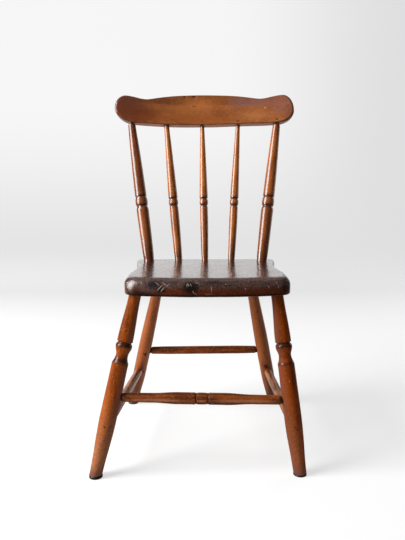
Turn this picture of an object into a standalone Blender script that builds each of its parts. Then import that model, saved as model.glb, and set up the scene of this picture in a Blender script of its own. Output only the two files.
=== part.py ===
"""A plank seat side chair with a turned spindle back, in metres, +Z up.

The seat plank carries four splayed legs below it, and two posts and three spindles above it, which hold a
bent crest rail. Every turned piece ends in a round tenon in a blind socket, and old brads pin the joints
that have worked loose. The four feet stand unevenly and no two upright pieces lean alike, as on the old
chair. X runs across the chair, its front faces -Y, and distances along a turned piece run from its joint
in the seat.
"""

import math

import bmesh
import bpy
from mathutils import Vector

OBJECT_NAME = "plank_seat_chair"

# Clearance between pieces that touch
FIT_GAP = 0.0003

# Facets of the round pieces
ROUND_STEPS = 16
SMALL_STEPS = 8
CURVE_STEPS = 4
OUTLINE_STEPS = 5

# Handle length of a quarter round in an outline, as a share of its radius
ROUND_REACH = 0.55

# Seat plank
SEAT_UNDERSIDE = 0.384
SEAT_THICKNESS = 0.0385
SEAT_FRONT_Y = -0.181
SEAT_REAR_Y = 0.182
SEAT_FRONT_HALF = 0.1792
SEAT_WAIST_HALF = 0.1675
SEAT_REAR_HALF = 0.1835
SEAT_FRONT_BOW = 0.016
SEAT_FRONT_CORNER = 0.036
SEAT_REAR_CORNER = 0.013
SEAT_WAIST_Y = 0.025
SEAT_ROLL = 0.013
SEAT_EDGE_ROUND = 0.005
SEAT_UNDER_ROUND = 0.004
SEAT_ROLL_FADE = 0.08
SEAT_SHIFT_X = 0.0023

# Depth of the blind sockets in the seat
LEG_TENON = 0.027
POST_TENON = 0.024
SPINDLE_TENON = 0.020

# A turned end stays straight this far outside its socket
STRAIGHT_END = 0.005

# Each leg, where its axis meets the seat's underside: in from the seat's side, and in from its front or rear
LEG_HEAD_INSET = {
    "front_left": (0.0252, 0.0470),
    "front_right": (0.0258, 0.0470),
    "rear_left": (0.0663, 0.0620),
    "rear_right": (0.0663, 0.0620),
}

# How far each leg's axis splays on its way to the floor: sideways, and to the front or rear
LEG_SPLAY = {
    "front_left": (0.0840, 0.0710),
    "front_right": (0.0479, 0.0640),
    "rear_left": (0.0893, 0.0980),
    "rear_right": (0.0812, 0.0980),
}
LEG_END_D = 0.0264

# Each leg's diameter at the foot, and how much thicker its turnings are than the pattern
LEG_FOOT_D = {
    "front_left": 0.0268,
    "front_right": 0.0276,
    "rear_left": 0.0255,
    "rear_right": 0.0262,
}
LEG_EXTRA_D = {
    "front_left": 0.0,
    "front_right": 0.0003,
    "rear_left": 0.0,
    "rear_right": 0.0013,
}

# Turning of the front legs, from the seat down
FRONT_LEG_TAPER = 0.105
FRONT_LEG_SWELL_D = 0.0342
FRONT_LEG_GROOVE = 0.0036
FRONT_LEG_GROOVE_D = 0.0296
FRONT_LEG_URN_RISE = 0.0066
FRONT_LEG_URN_D = 0.0358
FRONT_LEG_URN_FALL = 0.0190
FRONT_LEG_NECK_D = 0.0264
FRONT_LEG_COVE = 0.0175
FRONT_LEG_SHOULDER_D = 0.0357
FRONT_LEG_BODY_D = 0.0370
FRONT_LEG_BODY = 0.118
FRONT_LEG_ANKLE = 0.130

# Turning of the rear legs
REAR_LEG_TAPER = 0.215
REAR_LEG_BODY_D = 0.0345
REAR_LEG_BODY = 0.085
REAR_LEG_ANKLE = 0.108

# Glides under the feet: height and diameter
GLIDE_HEIGHT = {
    "front_left": 0.0065,
    "front_right": 0.0045,
    "rear_left": 0.0050,
    "rear_right": 0.0050,
}
GLIDE_D = 0.0290
GLIDE_EDGE = 0.0015
GLIDE_RECESS_D = 0.0080
GLIDE_RECESS = 0.0022

# Stretchers: height of each end on its leg, then diameters
FRONT_STRETCHER_Z = (0.1664, 0.1572)
REAR_STRETCHER_Z = (0.168, 0.1705)
LEFT_STRETCHER_Z = (0.107, 0.111)
RIGHT_STRETCHER_Z = (0.104, 0.108)
STRETCHER_TENON_D = 0.0160
STRETCHER_PAST_AXIS = 0.004
STRETCHER_NECK = 0.0018
STRETCHER_NIB = 0.0042
STRETCHER_NIB_D = 0.0200
FRONT_STRETCHER_ARM_D = 0.0208
FRONT_STRETCHER_SWELL_D = 0.0256
FRONT_STRETCHER_SWELL = 0.036
FRONT_STRETCHER_RISE = 0.055
FRONT_STRETCHER_BEAD = 0.0245
FRONT_STRETCHER_BEAD_D = 0.0254
FRONT_STRETCHER_GROOVE = 0.003
FRONT_STRETCHER_GROOVE_D = 0.0232
PLAIN_STRETCHER_D = 0.0216
PLAIN_STRETCHER_RISE = 0.050

# Back: its height and rake, and the posts' places in from the seat's sides and rear and the crest's ends
BACK_HEIGHT = 0.3663
BACK_RAKE = math.radians(15.4)
POST_SIDE_INSET = (0.0360, 0.0330)
POST_REAR_INSET = 0.0430
POST_TOP_INSET = (0.0448, 0.0465)

# The spindles divide the space between the posts equally, but for how far each one has drifted sideways
SPINDLE_REAR_INSET = (0.0255, 0.0220, 0.0255)
SPINDLE_BASE_DRIFT = (0.0030, -0.0010, -0.0048)
SPINDLE_TOP_DRIFT = (-0.0043, -0.0051, -0.0060)
SPINDLE_EXTRA_D = (0.0021, -0.0002, 0.0)

# Turning of the posts, from the seat up
POST_FOOT_D = 0.0270
POST_BELLY_D = 0.0326
POST_BELLY = 0.138
POST_SHOULDER = 0.010
POST_GROOVE_D = 0.0288
POST_GROOVE = 0.003
POST_BEAD_D = 0.0320
POST_BEAD = 0.024
POST_ARM_D = 0.0308
POST_NECK_D = 0.0200
POST_TENON_D = 0.0150
POST_NECK = 0.0025
POST_TAPER_POWER = 1.6
POST_BELLY_POWER = 0.55

# Turning of the spindles, from the seat up
SPINDLE_FOOT_D = 0.0176
SPINDLE_BELLY_D = 0.0222
SPINDLE_BELLY = 0.113
SPINDLE_SHOULDER_D = 0.0212
SPINDLE_SHOULDER = 0.0335
SPINDLE_GROOVE_D = 0.0184
SPINDLE_GROOVE = 0.003
SPINDLE_BEAD_D = 0.0224
SPINDLE_BEAD = 0.0185
SPINDLE_ARM_D = 0.0230
SPINDLE_TOP_D = 0.0118
SPINDLE_TAPER_POWER = 1.1
SPINDLE_BELLY_POWER = 0.6

# Crest rail, in its own raked plane: insets from its ends, and heights above its lower edge
CREST_THICKNESS = 0.024
CREST_HALF = 0.2443
CREST_LOWER_INSET = (0.0523, 0.0403)
CREST_ARCH_INSET = 0.1443
CREST_ARCH_REACH = 0.035
CREST_ARCH_RISE = (-0.0007, 0.0018)
CREST_TIP_RISE = (0.0400, 0.0328)
CREST_LOBE_INSET = 0.0293
CREST_LOBE_RISE = (0.0765, 0.0790)
CREST_DIP_INSET = (0.0833, 0.0893)
CREST_DIP_RISE = (0.0692, 0.0718)
CREST_CROWN_RISE = 0.0864
CREST_CROWN_REACH = 0.110
CREST_BEND = 0.0186
CREST_ROUND = 0.003
CREST_SLICE = 0.024
CREST_TENON = 0.022

# Iron brads and glide nails
BRAD_HEAD_D = 0.0036
BRAD_HEAD = 0.0008
BRAD_D = 0.0018
BRAD_LENGTH = 0.024
CREST_BRAD_LENGTH = 0.017
CREST_BRAD_RISE = 0.009
BRAD_PROUD = 0.0003
NAIL_HEAD_D = 0.0066
NAIL_HEAD = 0.0012
NAIL_D = 0.0024
NAIL_LENGTH = 0.018

# How far a cutter reaches outside the piece that it cuts
CUTTER_REACH = 0.006
FOOT_RUNOUT = 0.020
FOOT_CUTTER_SIDE = 0.080

SEAT_TOP = SEAT_UNDERSIDE + SEAT_THICKNESS

# Colour, roughness and metallic value of each finish
FINISHES = {
    "seat": ((0.055, 0.022, 0.014), 0.28, 0.0),
    "crest": ((0.260, 0.095, 0.030), 0.36, 0.0),
    "front_leg": ((0.310, 0.110, 0.030), 0.38, 0.0),
    "rear_leg": ((0.250, 0.085, 0.026), 0.40, 0.0),
    "post": ((0.170, 0.055, 0.026), 0.32, 0.0),
    "spindle": ((0.230, 0.082, 0.024), 0.32, 0.0),
    "stretcher": ((0.200, 0.065, 0.024), 0.40, 0.0),
    "glide": ((0.012, 0.011, 0.011), 0.55, 0.0),
    "iron": ((0.060, 0.050, 0.045), 0.60, 0.9),
}


def clear_scene():
    """Remove every object that the file opened with."""
    for item in list(bpy.data.objects):
        bpy.data.objects.remove(item, do_unlink=True)


def new_collection(name):
    """Add a collection to the scene."""
    collection = bpy.data.collections.new(name)
    bpy.context.scene.collection.children.link(collection)
    return collection


def finish_piece(piece, finish):
    """Give a piece its own Principled material."""
    colour, roughness, metallic = FINISHES[finish]
    material = bpy.data.materials.new(f"{piece.name}_finish")
    material.use_nodes = True
    shader = material.node_tree.nodes["Principled BSDF"]
    shader.inputs["Base Color"].default_value = (*colour, 1.0)
    shader.inputs["Roughness"].default_value = roughness
    shader.inputs["Metallic"].default_value = metallic
    piece.data.materials.append(material)


def mix(first, second, share):
    """The value at a share of the way from the first to the second."""
    return first + (second - first) * share


def ease(start, end, steps=CURVE_STEPS):
    """Stations of an S-shaped run between two (distance, radius) stations, without the first."""
    stations = []
    for step in range(1, steps + 1):
        share = step / steps
        swing = (1.0 - math.cos(math.pi * share)) / 2.0
        stations.append((mix(start[0], end[0], share), mix(start[1], end[1], swing)))
    return stations


def taper(start, end, power, steps=CURVE_STEPS):
    """Stations of a run whose radius changes with a power of the distance, without the first."""
    stations = []
    for step in range(1, steps + 1):
        share = step / steps
        stations.append((mix(start[0], end[0], share), mix(start[1], end[1], share**power)))
    return stations


def round_over(start, end, steps=3):
    """Stations of a quarter ellipse that leaves its start steeply, without the first."""
    stations = []
    for step in range(1, steps + 1):
        angle = math.pi / 2.0 * step / steps
        distance = mix(start[0], end[0], 1.0 - math.cos(angle))
        stations.append((distance, mix(start[1], end[1], math.sin(angle))))
    return stations


def bead(start, length, peak, steps=6):
    """Stations of a half round bead that starts and ends at the same radius, without the first."""
    stations = []
    for step in range(1, steps + 1):
        angle = math.pi * step / steps
        distance = start[0] + length * (1.0 - math.cos(angle)) / 2.0
        stations.append((distance, mix(start[1], peak, math.sin(angle))))
    return stations


def radius_at(profile, distance):
    """The radius of a turned profile at a distance along its axis."""
    for before, after in zip(profile, profile[1:]):
        if before[0] <= distance <= after[0] and after[0] > before[0]:
            return mix(before[1], after[1], (distance - before[0]) / (after[0] - before[0]))
    return profile[-1][1]


def turned(name, profile, start, direction, collection, steps=ROUND_STEPS):
    """Turn (distance, radius) stations round the line that leaves start in a direction."""
    outline = [(0.0, profile[-1][0])]
    outline += [(radius, distance) for distance, radius in reversed(profile)]
    outline.append((0.0, profile[0][0]))
    mesh = bpy.data.meshes.new(name)
    points = [(across, 0.0, along) for across, along in outline]
    mesh.from_pydata(points, [(i, i + 1) for i in range(len(points) - 1)], [])
    piece = bpy.data.objects.new(name, mesh)
    collection.objects.link(piece)
    piece.location = start
    piece.rotation_euler = direction.to_track_quat("Z", "Y").to_euler()
    screw = piece.modifiers.new("Turn", "SCREW")
    screw.angle = math.tau
    screw.steps = steps
    screw.render_steps = steps
    screw.use_merge_vertices = True
    screw.merge_threshold = 0.00001
    return piece


def hide_cutter(cutter):
    """Keep a cutter out of the model."""
    cutter.hide_render = True
    cutter.display_type = "WIRE"


def cut(piece, cutter):
    """Take a cutter's volume out of a piece."""
    boolean = piece.modifiers.new(cutter.name, "BOOLEAN")
    boolean.operation = "DIFFERENCE"
    boolean.solver = "EXACT"
    boolean.object = cutter


def bore_radius(radius, steps):
    """The radius of a faceted bore whose flats clear a round piece by the fit gap."""
    return (radius + FIT_GAP) / math.cos(math.pi / steps)


def bore_socket(receiver, tenant, mouth, inward, depth, radius, cutters):
    """Bore a blind socket for a round tenon, one fit gap wider and deeper than it."""
    bore = bore_radius(radius, ROUND_STEPS)
    profile = [(-CUTTER_REACH, bore), (depth + FIT_GAP, bore)]
    name = f"socket_{tenant}_in_{receiver.name}"
    cutter = turned(name, profile, mouth, inward, cutters, ROUND_STEPS)
    hide_cutter(cutter)
    cut(receiver, cutter)


def pin_profile(head_d, head, shank_d, length):
    """Stations of a flat headed pin, from its head down to its blunt point."""
    return [
        (0.0, head_d / 2.0),
        (head, head_d / 2.0),
        (head, shank_d / 2.0),
        (length - shank_d, shank_d / 2.0),
        (length, shank_d / 4.0),
    ]


def drive_pin(name, profile, head_point, inward, receivers, parts, cutters):
    """Set a pin in a hole that clears it by the fit gap in every receiver."""
    pin = turned(name, profile, head_point, inward, parts, SMALL_STEPS)
    finish_piece(pin, "iron")
    sunk, head_radius = profile[1]
    head_bore = bore_radius(head_radius, SMALL_STEPS)
    shank_bore = bore_radius(profile[2][1], SMALL_STEPS)
    hole = [
        (-CUTTER_REACH, head_bore),
        (sunk + FIT_GAP, head_bore),
        (sunk + FIT_GAP, shank_bore),
        (profile[-1][0] + FIT_GAP, shank_bore),
    ]
    cutter = turned(f"hole_{name}", hole, head_point, inward, cutters, SMALL_STEPS)
    hide_cutter(cutter)
    for receiver in receivers:
        cut(receiver, cutter)


def mirrored_outline(right_side, left_side, first, last):
    """A closed outline: a first node, the right side up, a last node and the left side back down.

    A node is (x, y, tangent x, tangent y, reach before, reach after). The left side's nodes are given as
    the right side's, and mirrored here.
    """
    nodes = list(first) + list(right_side) + list(last)
    for x, y, along_x, along_y, before, after in reversed(left_side):
        nodes.append((-x, y, along_x, -along_y, after, before))
    return nodes


def outline_board(name, nodes, thickness, collection):
    """A flat board cut to a smooth closed outline, its middle plane at local z = 0."""
    curve = bpy.data.curves.new(name, "CURVE")
    curve.dimensions = "2D"
    curve.fill_mode = "BOTH"
    curve.extrude = thickness / 2.0
    curve.resolution_u = OUTLINE_STEPS
    spline = curve.splines.new("BEZIER")
    spline.bezier_points.add(len(nodes) - 1)
    spline.use_cyclic_u = True
    for point, (x, y, along_x, along_y, before, after) in zip(spline.bezier_points, nodes):
        along = Vector((along_x, along_y, 0.0)).normalized()
        point.handle_left_type = "FREE"
        point.handle_right_type = "FREE"
        point.co = (x, y, 0.0)
        point.handle_left = point.co - along * before
        point.handle_right = point.co + along * after
    source = bpy.data.objects.new(f"{name}_outline", curve)
    collection.objects.link(source)
    depsgraph = bpy.context.evaluated_depsgraph_get()
    mesh = bpy.data.meshes.new_from_object(source.evaluated_get(depsgraph))
    mesh.name = name
    bpy.data.objects.remove(source, do_unlink=True)
    board = bpy.data.objects.new(name, mesh)
    collection.objects.link(board)
    tidy_board(mesh)
    return board


def lies_flat(face):
    """Whether a face belongs to a board's upper or lower side, and not to its edge."""
    return abs(face.normal.z) > 0.9


def tidy_board(mesh):
    """Close a board's caps and make each one a single face."""
    work = bmesh.new()
    work.from_mesh(mesh)
    bmesh.ops.remove_doubles(work, verts=work.verts, dist=0.00001)
    for side in (-1.0, 1.0):
        cap = [face for face in work.faces if lies_flat(face) and face.normal.z * side > 0.0]
        bmesh.ops.dissolve_faces(work, faces=cap)
    bmesh.ops.recalc_face_normals(work, faces=work.faces)
    work.to_mesh(mesh)
    work.free()


def rounded_edges(piece, width, weight_of_edge, segments):
    """Round the rims of a board's flat sides, each edge by its own share of the width."""
    work = bmesh.new()
    work.from_mesh(piece.data)
    weights = work.edges.layers.float.new("bevel_weight_edge")
    for edge in work.edges:
        flat = [lies_flat(face) for face in edge.link_faces]
        if any(flat) and not all(flat):
            middle = (edge.verts[0].co + edge.verts[1].co) / 2.0
            edge[weights] = weight_of_edge(middle)
    work.to_mesh(piece.data)
    work.free()
    bevel = piece.modifiers.new("Round edges", "BEVEL")
    bevel.limit_method = "WEIGHT"
    bevel.width = width
    bevel.segments = segments
    bevel.use_clamp_overlap = False


def seat_outline():
    """The seat's plan: a bowed front, sides that narrow to a waist, and square rear corners."""
    corner_x = SEAT_FRONT_HALF - SEAT_FRONT_CORNER
    corner_y = SEAT_FRONT_Y + SEAT_FRONT_BOW
    bow_slope = 2.0 * SEAT_FRONT_BOW / corner_x
    side_y = corner_y + SEAT_FRONT_CORNER
    front_reach = corner_x / 3.0
    waist_reach = (SEAT_WAIST_Y - side_y) / 3.0
    rear_y = SEAT_REAR_Y - SEAT_REAR_CORNER
    rear_reach = (rear_y - SEAT_WAIST_Y) / 3.0
    right = [
        (corner_x, corner_y, 1.0, bow_slope, front_reach, SEAT_FRONT_CORNER * ROUND_REACH),
        (SEAT_FRONT_HALF, side_y, 0.0, 1.0, SEAT_FRONT_CORNER * ROUND_REACH, waist_reach),
        (SEAT_WAIST_HALF, SEAT_WAIST_Y, 0.0, 1.0, waist_reach, rear_reach),
        (SEAT_REAR_HALF, rear_y, 0.0, 1.0, rear_reach, SEAT_REAR_CORNER * ROUND_REACH),
        (
            SEAT_REAR_HALF - SEAT_REAR_CORNER,
            SEAT_REAR_Y,
            -1.0,
            0.0,
            SEAT_REAR_CORNER * ROUND_REACH,
            SEAT_REAR_HALF / 3.0,
        ),
    ]
    front = [(0.0, SEAT_FRONT_Y, 1.0, 0.0, front_reach, front_reach)]
    return mirrored_outline(right, right, front, [])


def seat_rim_weight(middle):
    """The share of the front roll that a rim edge gets: all of it in front, less at the sides and below."""
    if middle.z < 0.0:
        return SEAT_UNDER_ROUND / SEAT_ROLL
    plain = SEAT_EDGE_ROUND / SEAT_ROLL
    behind = (middle.y - SEAT_FRONT_Y - SEAT_FRONT_BOW) / SEAT_ROLL_FADE
    return mix(1.0, plain, min(max(behind, 0.0), 1.0))


def build_seat(parts):
    """The plank, with its front edge rolled over."""
    seat = outline_board("seat", seat_outline(), SEAT_THICKNESS, parts)
    seat.location = (SEAT_SHIFT_X, 0.0, (SEAT_UNDERSIDE + SEAT_TOP) / 2.0)
    rounded_edges(seat, SEAT_ROLL, seat_rim_weight, 3)
    finish_piece(seat, "seat")
    return seat


def front_leg_profile(length, extra, foot):
    """Stations of a front leg: taper, groove, urn, cove, then a plain body that narrows at the ankle."""
    end = LEG_END_D / 2.0
    groove = (FRONT_LEG_GROOVE_D + extra) / 2.0
    profile = [(-LEG_TENON, end), (STRAIGHT_END, end)]
    profile += ease(profile[-1], (FRONT_LEG_TAPER, (FRONT_LEG_SWELL_D + extra) / 2.0))
    edge = profile[-1]
    profile.append((edge[0] + FRONT_LEG_GROOVE / 3.0, groove))
    profile.append((edge[0] + FRONT_LEG_GROOVE, groove))
    urn = profile[-1][0] + FRONT_LEG_URN_RISE
    profile += round_over(profile[-1], (urn, (FRONT_LEG_URN_D + extra) / 2.0))
    profile += ease(profile[-1], (urn + FRONT_LEG_URN_FALL, (FRONT_LEG_NECK_D + extra) / 2.0))
    shoulder = profile[-1][0] + FRONT_LEG_COVE
    profile += taper(profile[-1], (shoulder, (FRONT_LEG_SHOULDER_D + extra) / 2.0), 2.0, 4)
    profile += ease(profile[-1], (shoulder + FRONT_LEG_BODY, (FRONT_LEG_BODY_D + extra) / 2.0), 2)
    ankle = max(length, profile[-1][0] + FRONT_LEG_ANKLE)
    profile += ease(profile[-1], (ankle, foot))
    profile.append((ankle + FOOT_RUNOUT, foot))
    return profile


def rear_leg_profile(length, extra, foot):
    """Stations of a rear leg: one long swelling between two straight ends."""
    end = LEG_END_D / 2.0
    body = (REAR_LEG_BODY_D + extra) / 2.0
    profile = [(-LEG_TENON, end), (STRAIGHT_END, end)]
    profile += ease(profile[-1], (REAR_LEG_TAPER, body))
    profile.append((REAR_LEG_TAPER + REAR_LEG_BODY, body))
    ankle = max(length, profile[-1][0] + REAR_LEG_ANKLE)
    profile += ease(profile[-1], (ankle, foot))
    profile.append((ankle + FOOT_RUNOUT, foot))
    return profile


class Leg:
    """A splayed leg: its axis from the seat down to the floor, and its turned profile."""

    def __init__(self, corner):
        self.corner = corner
        self.in_front = corner.startswith("front")
        side = -1.0 if corner.endswith("left") else 1.0
        end = -1.0 if self.in_front else 1.0
        half = SEAT_FRONT_HALF if self.in_front else SEAT_REAR_HALF
        edge = SEAT_FRONT_Y if self.in_front else SEAT_REAR_Y
        inset = LEG_HEAD_INSET[corner]
        splay = LEG_SPLAY[corner]
        self.head = Vector((side * (half - inset[0]), edge - end * inset[1], SEAT_UNDERSIDE))
        self.foot = Vector((self.head.x + side * splay[0], self.head.y + end * splay[1], 0.0))
        self.down = (self.foot - self.head).normalized()
        length = (self.foot - self.head).length
        shape = front_leg_profile if self.in_front else rear_leg_profile
        self.profile = shape(length, LEG_EXTRA_D[corner], LEG_FOOT_D[corner] / 2.0)
        self.piece = None

    def at_height(self, height):
        """The point of the leg's axis at a height above the floor."""
        return self.foot.lerp(self.head, height / self.head.z)

    def radius_at_height(self, height):
        """The leg's radius at a height above the floor."""
        return radius_at(self.profile, (self.at_height(height) - self.head).length)

    def build(self, seat, parts, cutters):
        """Turn the leg, bore its socket in the seat and cut its foot level above the glide."""
        name = f"leg_{self.corner}"
        self.piece = turned(name, self.profile, self.head, self.down, parts)
        finish_piece(self.piece, "front_leg" if self.in_front else "rear_leg")
        bore_socket(seat, name, self.head, -self.down, LEG_TENON, LEG_END_D / 2.0, cutters)
        bpy.ops.mesh.primitive_cube_add(size=FOOT_CUTTER_SIDE)
        cutter = bpy.context.object
        cutter.name = f"foot_cut_{self.corner}"
        for holder in list(cutter.users_collection):
            holder.objects.unlink(cutter)
        cutters.objects.link(cutter)
        level = GLIDE_HEIGHT[self.corner] + FIT_GAP
        cutter.location = (self.foot.x, self.foot.y, level - FOOT_CUTTER_SIDE / 2.0)
        hide_cutter(cutter)
        cut(self.piece, cutter)


def build_glide(leg, parts, cutters):
    """A dark button under a foot, with the nail that holds it sunk in its underside."""
    height = GLIDE_HEIGHT[leg.corner]
    centre = leg.at_height(height)
    floor_point = Vector((centre.x, centre.y, 0.0))
    up = Vector((0.0, 0.0, 1.0))
    rim = GLIDE_D / 2.0
    body = [(0.0, rim - GLIDE_EDGE)]
    body += round_over(body[0], (GLIDE_EDGE, rim), 2)
    body += [(height - GLIDE_EDGE, rim), (height, rim - GLIDE_EDGE)]
    glide = turned(f"glide_{leg.corner}", body, floor_point, up, parts)
    finish_piece(glide, "glide")
    seat_of_head = floor_point + up * GLIDE_RECESS
    recess = [(-CUTTER_REACH, GLIDE_RECESS_D / 2.0), (GLIDE_RECESS + FIT_GAP, GLIDE_RECESS_D / 2.0)]
    cutter = turned(f"recess_{leg.corner}", recess, floor_point, up, cutters, SMALL_STEPS)
    hide_cutter(cutter)
    cut(glide, cutter)
    profile = pin_profile(NAIL_HEAD_D, NAIL_HEAD, NAIL_D, NAIL_LENGTH)
    head_point = seat_of_head - up * NAIL_HEAD
    drive_pin(f"glide_nail_{leg.corner}", profile, head_point, up, [glide, leg.piece], parts, cutters)


def stretcher_end(leg_radius):
    """Stations of a stretcher's end: a tenon that passes the leg's axis, a short neck and a bevelled nib."""
    tenon = STRETCHER_TENON_D / 2.0
    neck = leg_radius + STRETCHER_NECK
    return [(-STRETCHER_PAST_AXIS, tenon), (neck, tenon), (neck + STRETCHER_NIB, STRETCHER_NIB_D / 2.0)]


def front_stretcher_profile(length, first_leg, second_leg):
    """Stations of the front stretcher: necked ends, a swelling and a bead in the middle."""
    arm = FRONT_STRETCHER_ARM_D / 2.0
    swell = FRONT_STRETCHER_SWELL_D / 2.0
    groove = FRONT_STRETCHER_GROOVE_D / 2.0
    middle = length / 2.0
    edge = middle - FRONT_STRETCHER_BEAD / 2.0 - FRONT_STRETCHER_GROOVE
    swell_start = edge - FRONT_STRETCHER_SWELL
    arm_end = swell_start - FRONT_STRETCHER_RISE

    def half(leg_radius):
        """The stations from one leg's axis to the groove beside the bead."""
        stations = stretcher_end(leg_radius)
        stations.append((arm_end, arm))
        stations += ease(stations[-1], (swell_start, swell))
        stations.append((edge, swell))
        stations.append((edge + FRONT_STRETCHER_GROOVE / 2.0, groove))
        stations.append((edge + FRONT_STRETCHER_GROOVE, groove))
        return stations

    near = half(first_leg)
    far = [(length - distance, radius) for distance, radius in reversed(half(second_leg))]
    ring = bead(near[-1], FRONT_STRETCHER_BEAD, FRONT_STRETCHER_BEAD_D / 2.0)
    return near + ring[:-1] + far


def plain_stretcher_profile(length, first_leg, second_leg):
    """Stations of a plain stretcher: a round bar, a little thinner at its necked ends."""
    full = PLAIN_STRETCHER_D / 2.0

    def half(leg_radius):
        """The stations from one leg's axis to the full thickness."""
        stations = stretcher_end(leg_radius)
        return stations + ease(stations[-1], (stations[-1][0] + PLAIN_STRETCHER_RISE, full), 3)

    far = [(length - distance, radius) for distance, radius in reversed(half(second_leg))]
    return half(first_leg) + far


def build_stretcher(name, legs, heights, shape, parts, cutters):
    """A stretcher between two legs, with a blind socket bored for it in each."""
    points = [leg.at_height(height) for leg, height in zip(legs, heights)]
    radii = [leg.radius_at_height(height) for leg, height in zip(legs, heights)]
    along = (points[1] - points[0]).normalized()
    profile = shape((points[1] - points[0]).length, radii[0], radii[1])
    stretcher = turned(name, profile, points[0], along, parts)
    finish_piece(stretcher, "stretcher")
    for leg, point, radius, outward in zip(legs, points, radii, (-along, along)):
        mouth = point - outward * (radius + CUTTER_REACH)
        depth = radius + CUTTER_REACH + STRETCHER_PAST_AXIS
        bore_socket(leg.piece, name, mouth, outward, depth, STRETCHER_TENON_D / 2.0, cutters)
    return stretcher


def brad_in_leg(name, leg, height, towards, stretcher, parts, cutters):
    """A brad driven square through a leg into the stretcher whose end lies at that height."""
    inward = (towards - leg.down * towards.dot(leg.down)).normalized()
    head_point = leg.at_height(height) - inward * (leg.radius_at_height(height) + BRAD_PROUD)
    profile = pin_profile(BRAD_HEAD_D, BRAD_HEAD, BRAD_D, BRAD_LENGTH)
    drive_pin(name, profile, head_point, inward, [leg.piece, stretcher], parts, cutters)


def build_undercarriage(seat, parts, cutters):
    """The four legs with their glides, the four stretchers, and the brads between them."""
    legs = {corner: Leg(corner) for corner in LEG_SPLAY}
    for leg in legs.values():
        leg.build(seat, parts, cutters)
        build_glide(leg, parts, cutters)
    front = (legs["front_left"], legs["front_right"])
    rear = (legs["rear_left"], legs["rear_right"])
    build_stretcher("stretcher_front", front, FRONT_STRETCHER_Z, front_stretcher_profile, parts, cutters)
    back_bar = build_stretcher(
        "stretcher_rear", rear, REAR_STRETCHER_Z, plain_stretcher_profile, parts, cutters
    )
    for leg, height in zip(rear, REAR_STRETCHER_Z):
        name = f"brad_rear_{leg.corner}"
        brad_in_leg(name, leg, height, Vector((0.0, 1.0, 0.0)), back_bar, parts, cutters)
    for side, heights, inner in (("left", LEFT_STRETCHER_Z, -1.0), ("right", RIGHT_STRETCHER_Z, 1.0)):
        pair = (legs[f"front_{side}"], legs[f"rear_{side}"])
        bar = build_stretcher(f"stretcher_{side}", pair, heights, plain_stretcher_profile, parts, cutters)
        along = pair[1].at_height(heights[1]) - pair[0].at_height(heights[0])
        brad_in_leg(f"brad_side_front_{side}", pair[0], heights[0], along, bar, parts, cutters)
        across = Vector((inner, 0.0, 0.0))
        brad_in_leg(f"brad_side_rear_{side}", pair[1], heights[1], across, bar, parts, cutters)


def post_base(side):
    """Where a post's axis meets the top of the seat."""
    x = (2 * side - 1) * (SEAT_REAR_HALF - POST_SIDE_INSET[side])
    return Vector((x, SEAT_REAR_Y - POST_REAR_INSET, SEAT_TOP))


def post_top_x(side):
    """Where across the crest rail a post's axis meets its lower edge."""
    return (2 * side - 1) * (CREST_HALF - POST_TOP_INSET[side])


def crest_chord():
    """Half the distance between the posts at the crest rail."""
    return (post_top_x(1) - post_top_x(0)) / 2.0


def crest_bend(x):
    """How far back the bent crest rail lies at x, from the chord through its posts."""
    return CREST_BEND * (1.0 - (x / crest_chord()) ** 2)


def crest_front(x):
    """The direction in which the bent crest rail's front faces at x."""
    slope = -2.0 * CREST_BEND * x / crest_chord() ** 2
    return Vector((slope, -math.cos(BACK_RAKE), math.sin(BACK_RAKE))).normalized()


def crest_origin():
    """The middle of the crest rail's lower edge, before its bend."""
    setback = post_base(0).y + math.tan(BACK_RAKE) * BACK_HEIGHT
    return Vector((0.0, setback, SEAT_TOP + BACK_HEIGHT))


def crest_point(x, rise, forward):
    """A point of the bent crest rail: across, up its raked face, and forward of its middle plane."""
    up = Vector((0.0, math.sin(BACK_RAKE), math.cos(BACK_RAKE)))
    front = Vector((0.0, -math.cos(BACK_RAKE), math.sin(BACK_RAKE)))
    return crest_origin() + Vector((x, 0.0, 0.0)) + up * rise + front * (forward - crest_bend(x))


def crest_side(side):
    """The nodes of one end of the crest rail's outline, its own lobe and dip on each side."""
    lobe = CREST_LOBE_RISE[side]
    tip = CREST_TIP_RISE[side]
    corner = CREST_HALF - CREST_LOWER_INSET[side]
    lobe_x = CREST_HALF - CREST_LOBE_INSET
    dip_x = CREST_HALF - CREST_DIP_INSET[side]
    valley = (lobe_x - dip_x) / 3.0
    arch = CREST_ARCH_REACH
    return [
        (CREST_HALF - CREST_ARCH_INSET, CREST_ARCH_RISE[side], 1.0, 0.0, arch, arch),
        (corner, 0.0, 1.0, 0.0, arch, CREST_LOWER_INSET[side] * ROUND_REACH),
        (CREST_HALF, tip, 0.0, 1.0, tip * ROUND_REACH, (lobe - tip) * ROUND_REACH),
        (lobe_x, lobe, -1.0, 0.0, CREST_LOBE_INSET * ROUND_REACH, valley),
        (dip_x, CREST_DIP_RISE[side], -1.0, 0.0, valley, valley),
    ]


def build_crest(parts):
    """The crest rail: a shaped board, bent to a shallow curve and raked back."""
    crown = [(0.0, CREST_CROWN_RISE, -1.0, 0.0, CREST_CROWN_REACH, CREST_CROWN_REACH)]
    outline = mirrored_outline(crest_side(1), crest_side(0), [], crown)
    crest = outline_board("crest_rail", outline, CREST_THICKNESS, parts)
    rounded_edges(crest, CREST_ROUND, lambda middle: 1.0, 2)
    bend_board(crest.data)
    crest.location = crest_origin()
    crest.rotation_euler = (math.pi / 2.0 - BACK_RAKE, 0.0, 0.0)
    finish_piece(crest, "crest")
    return crest


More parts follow.
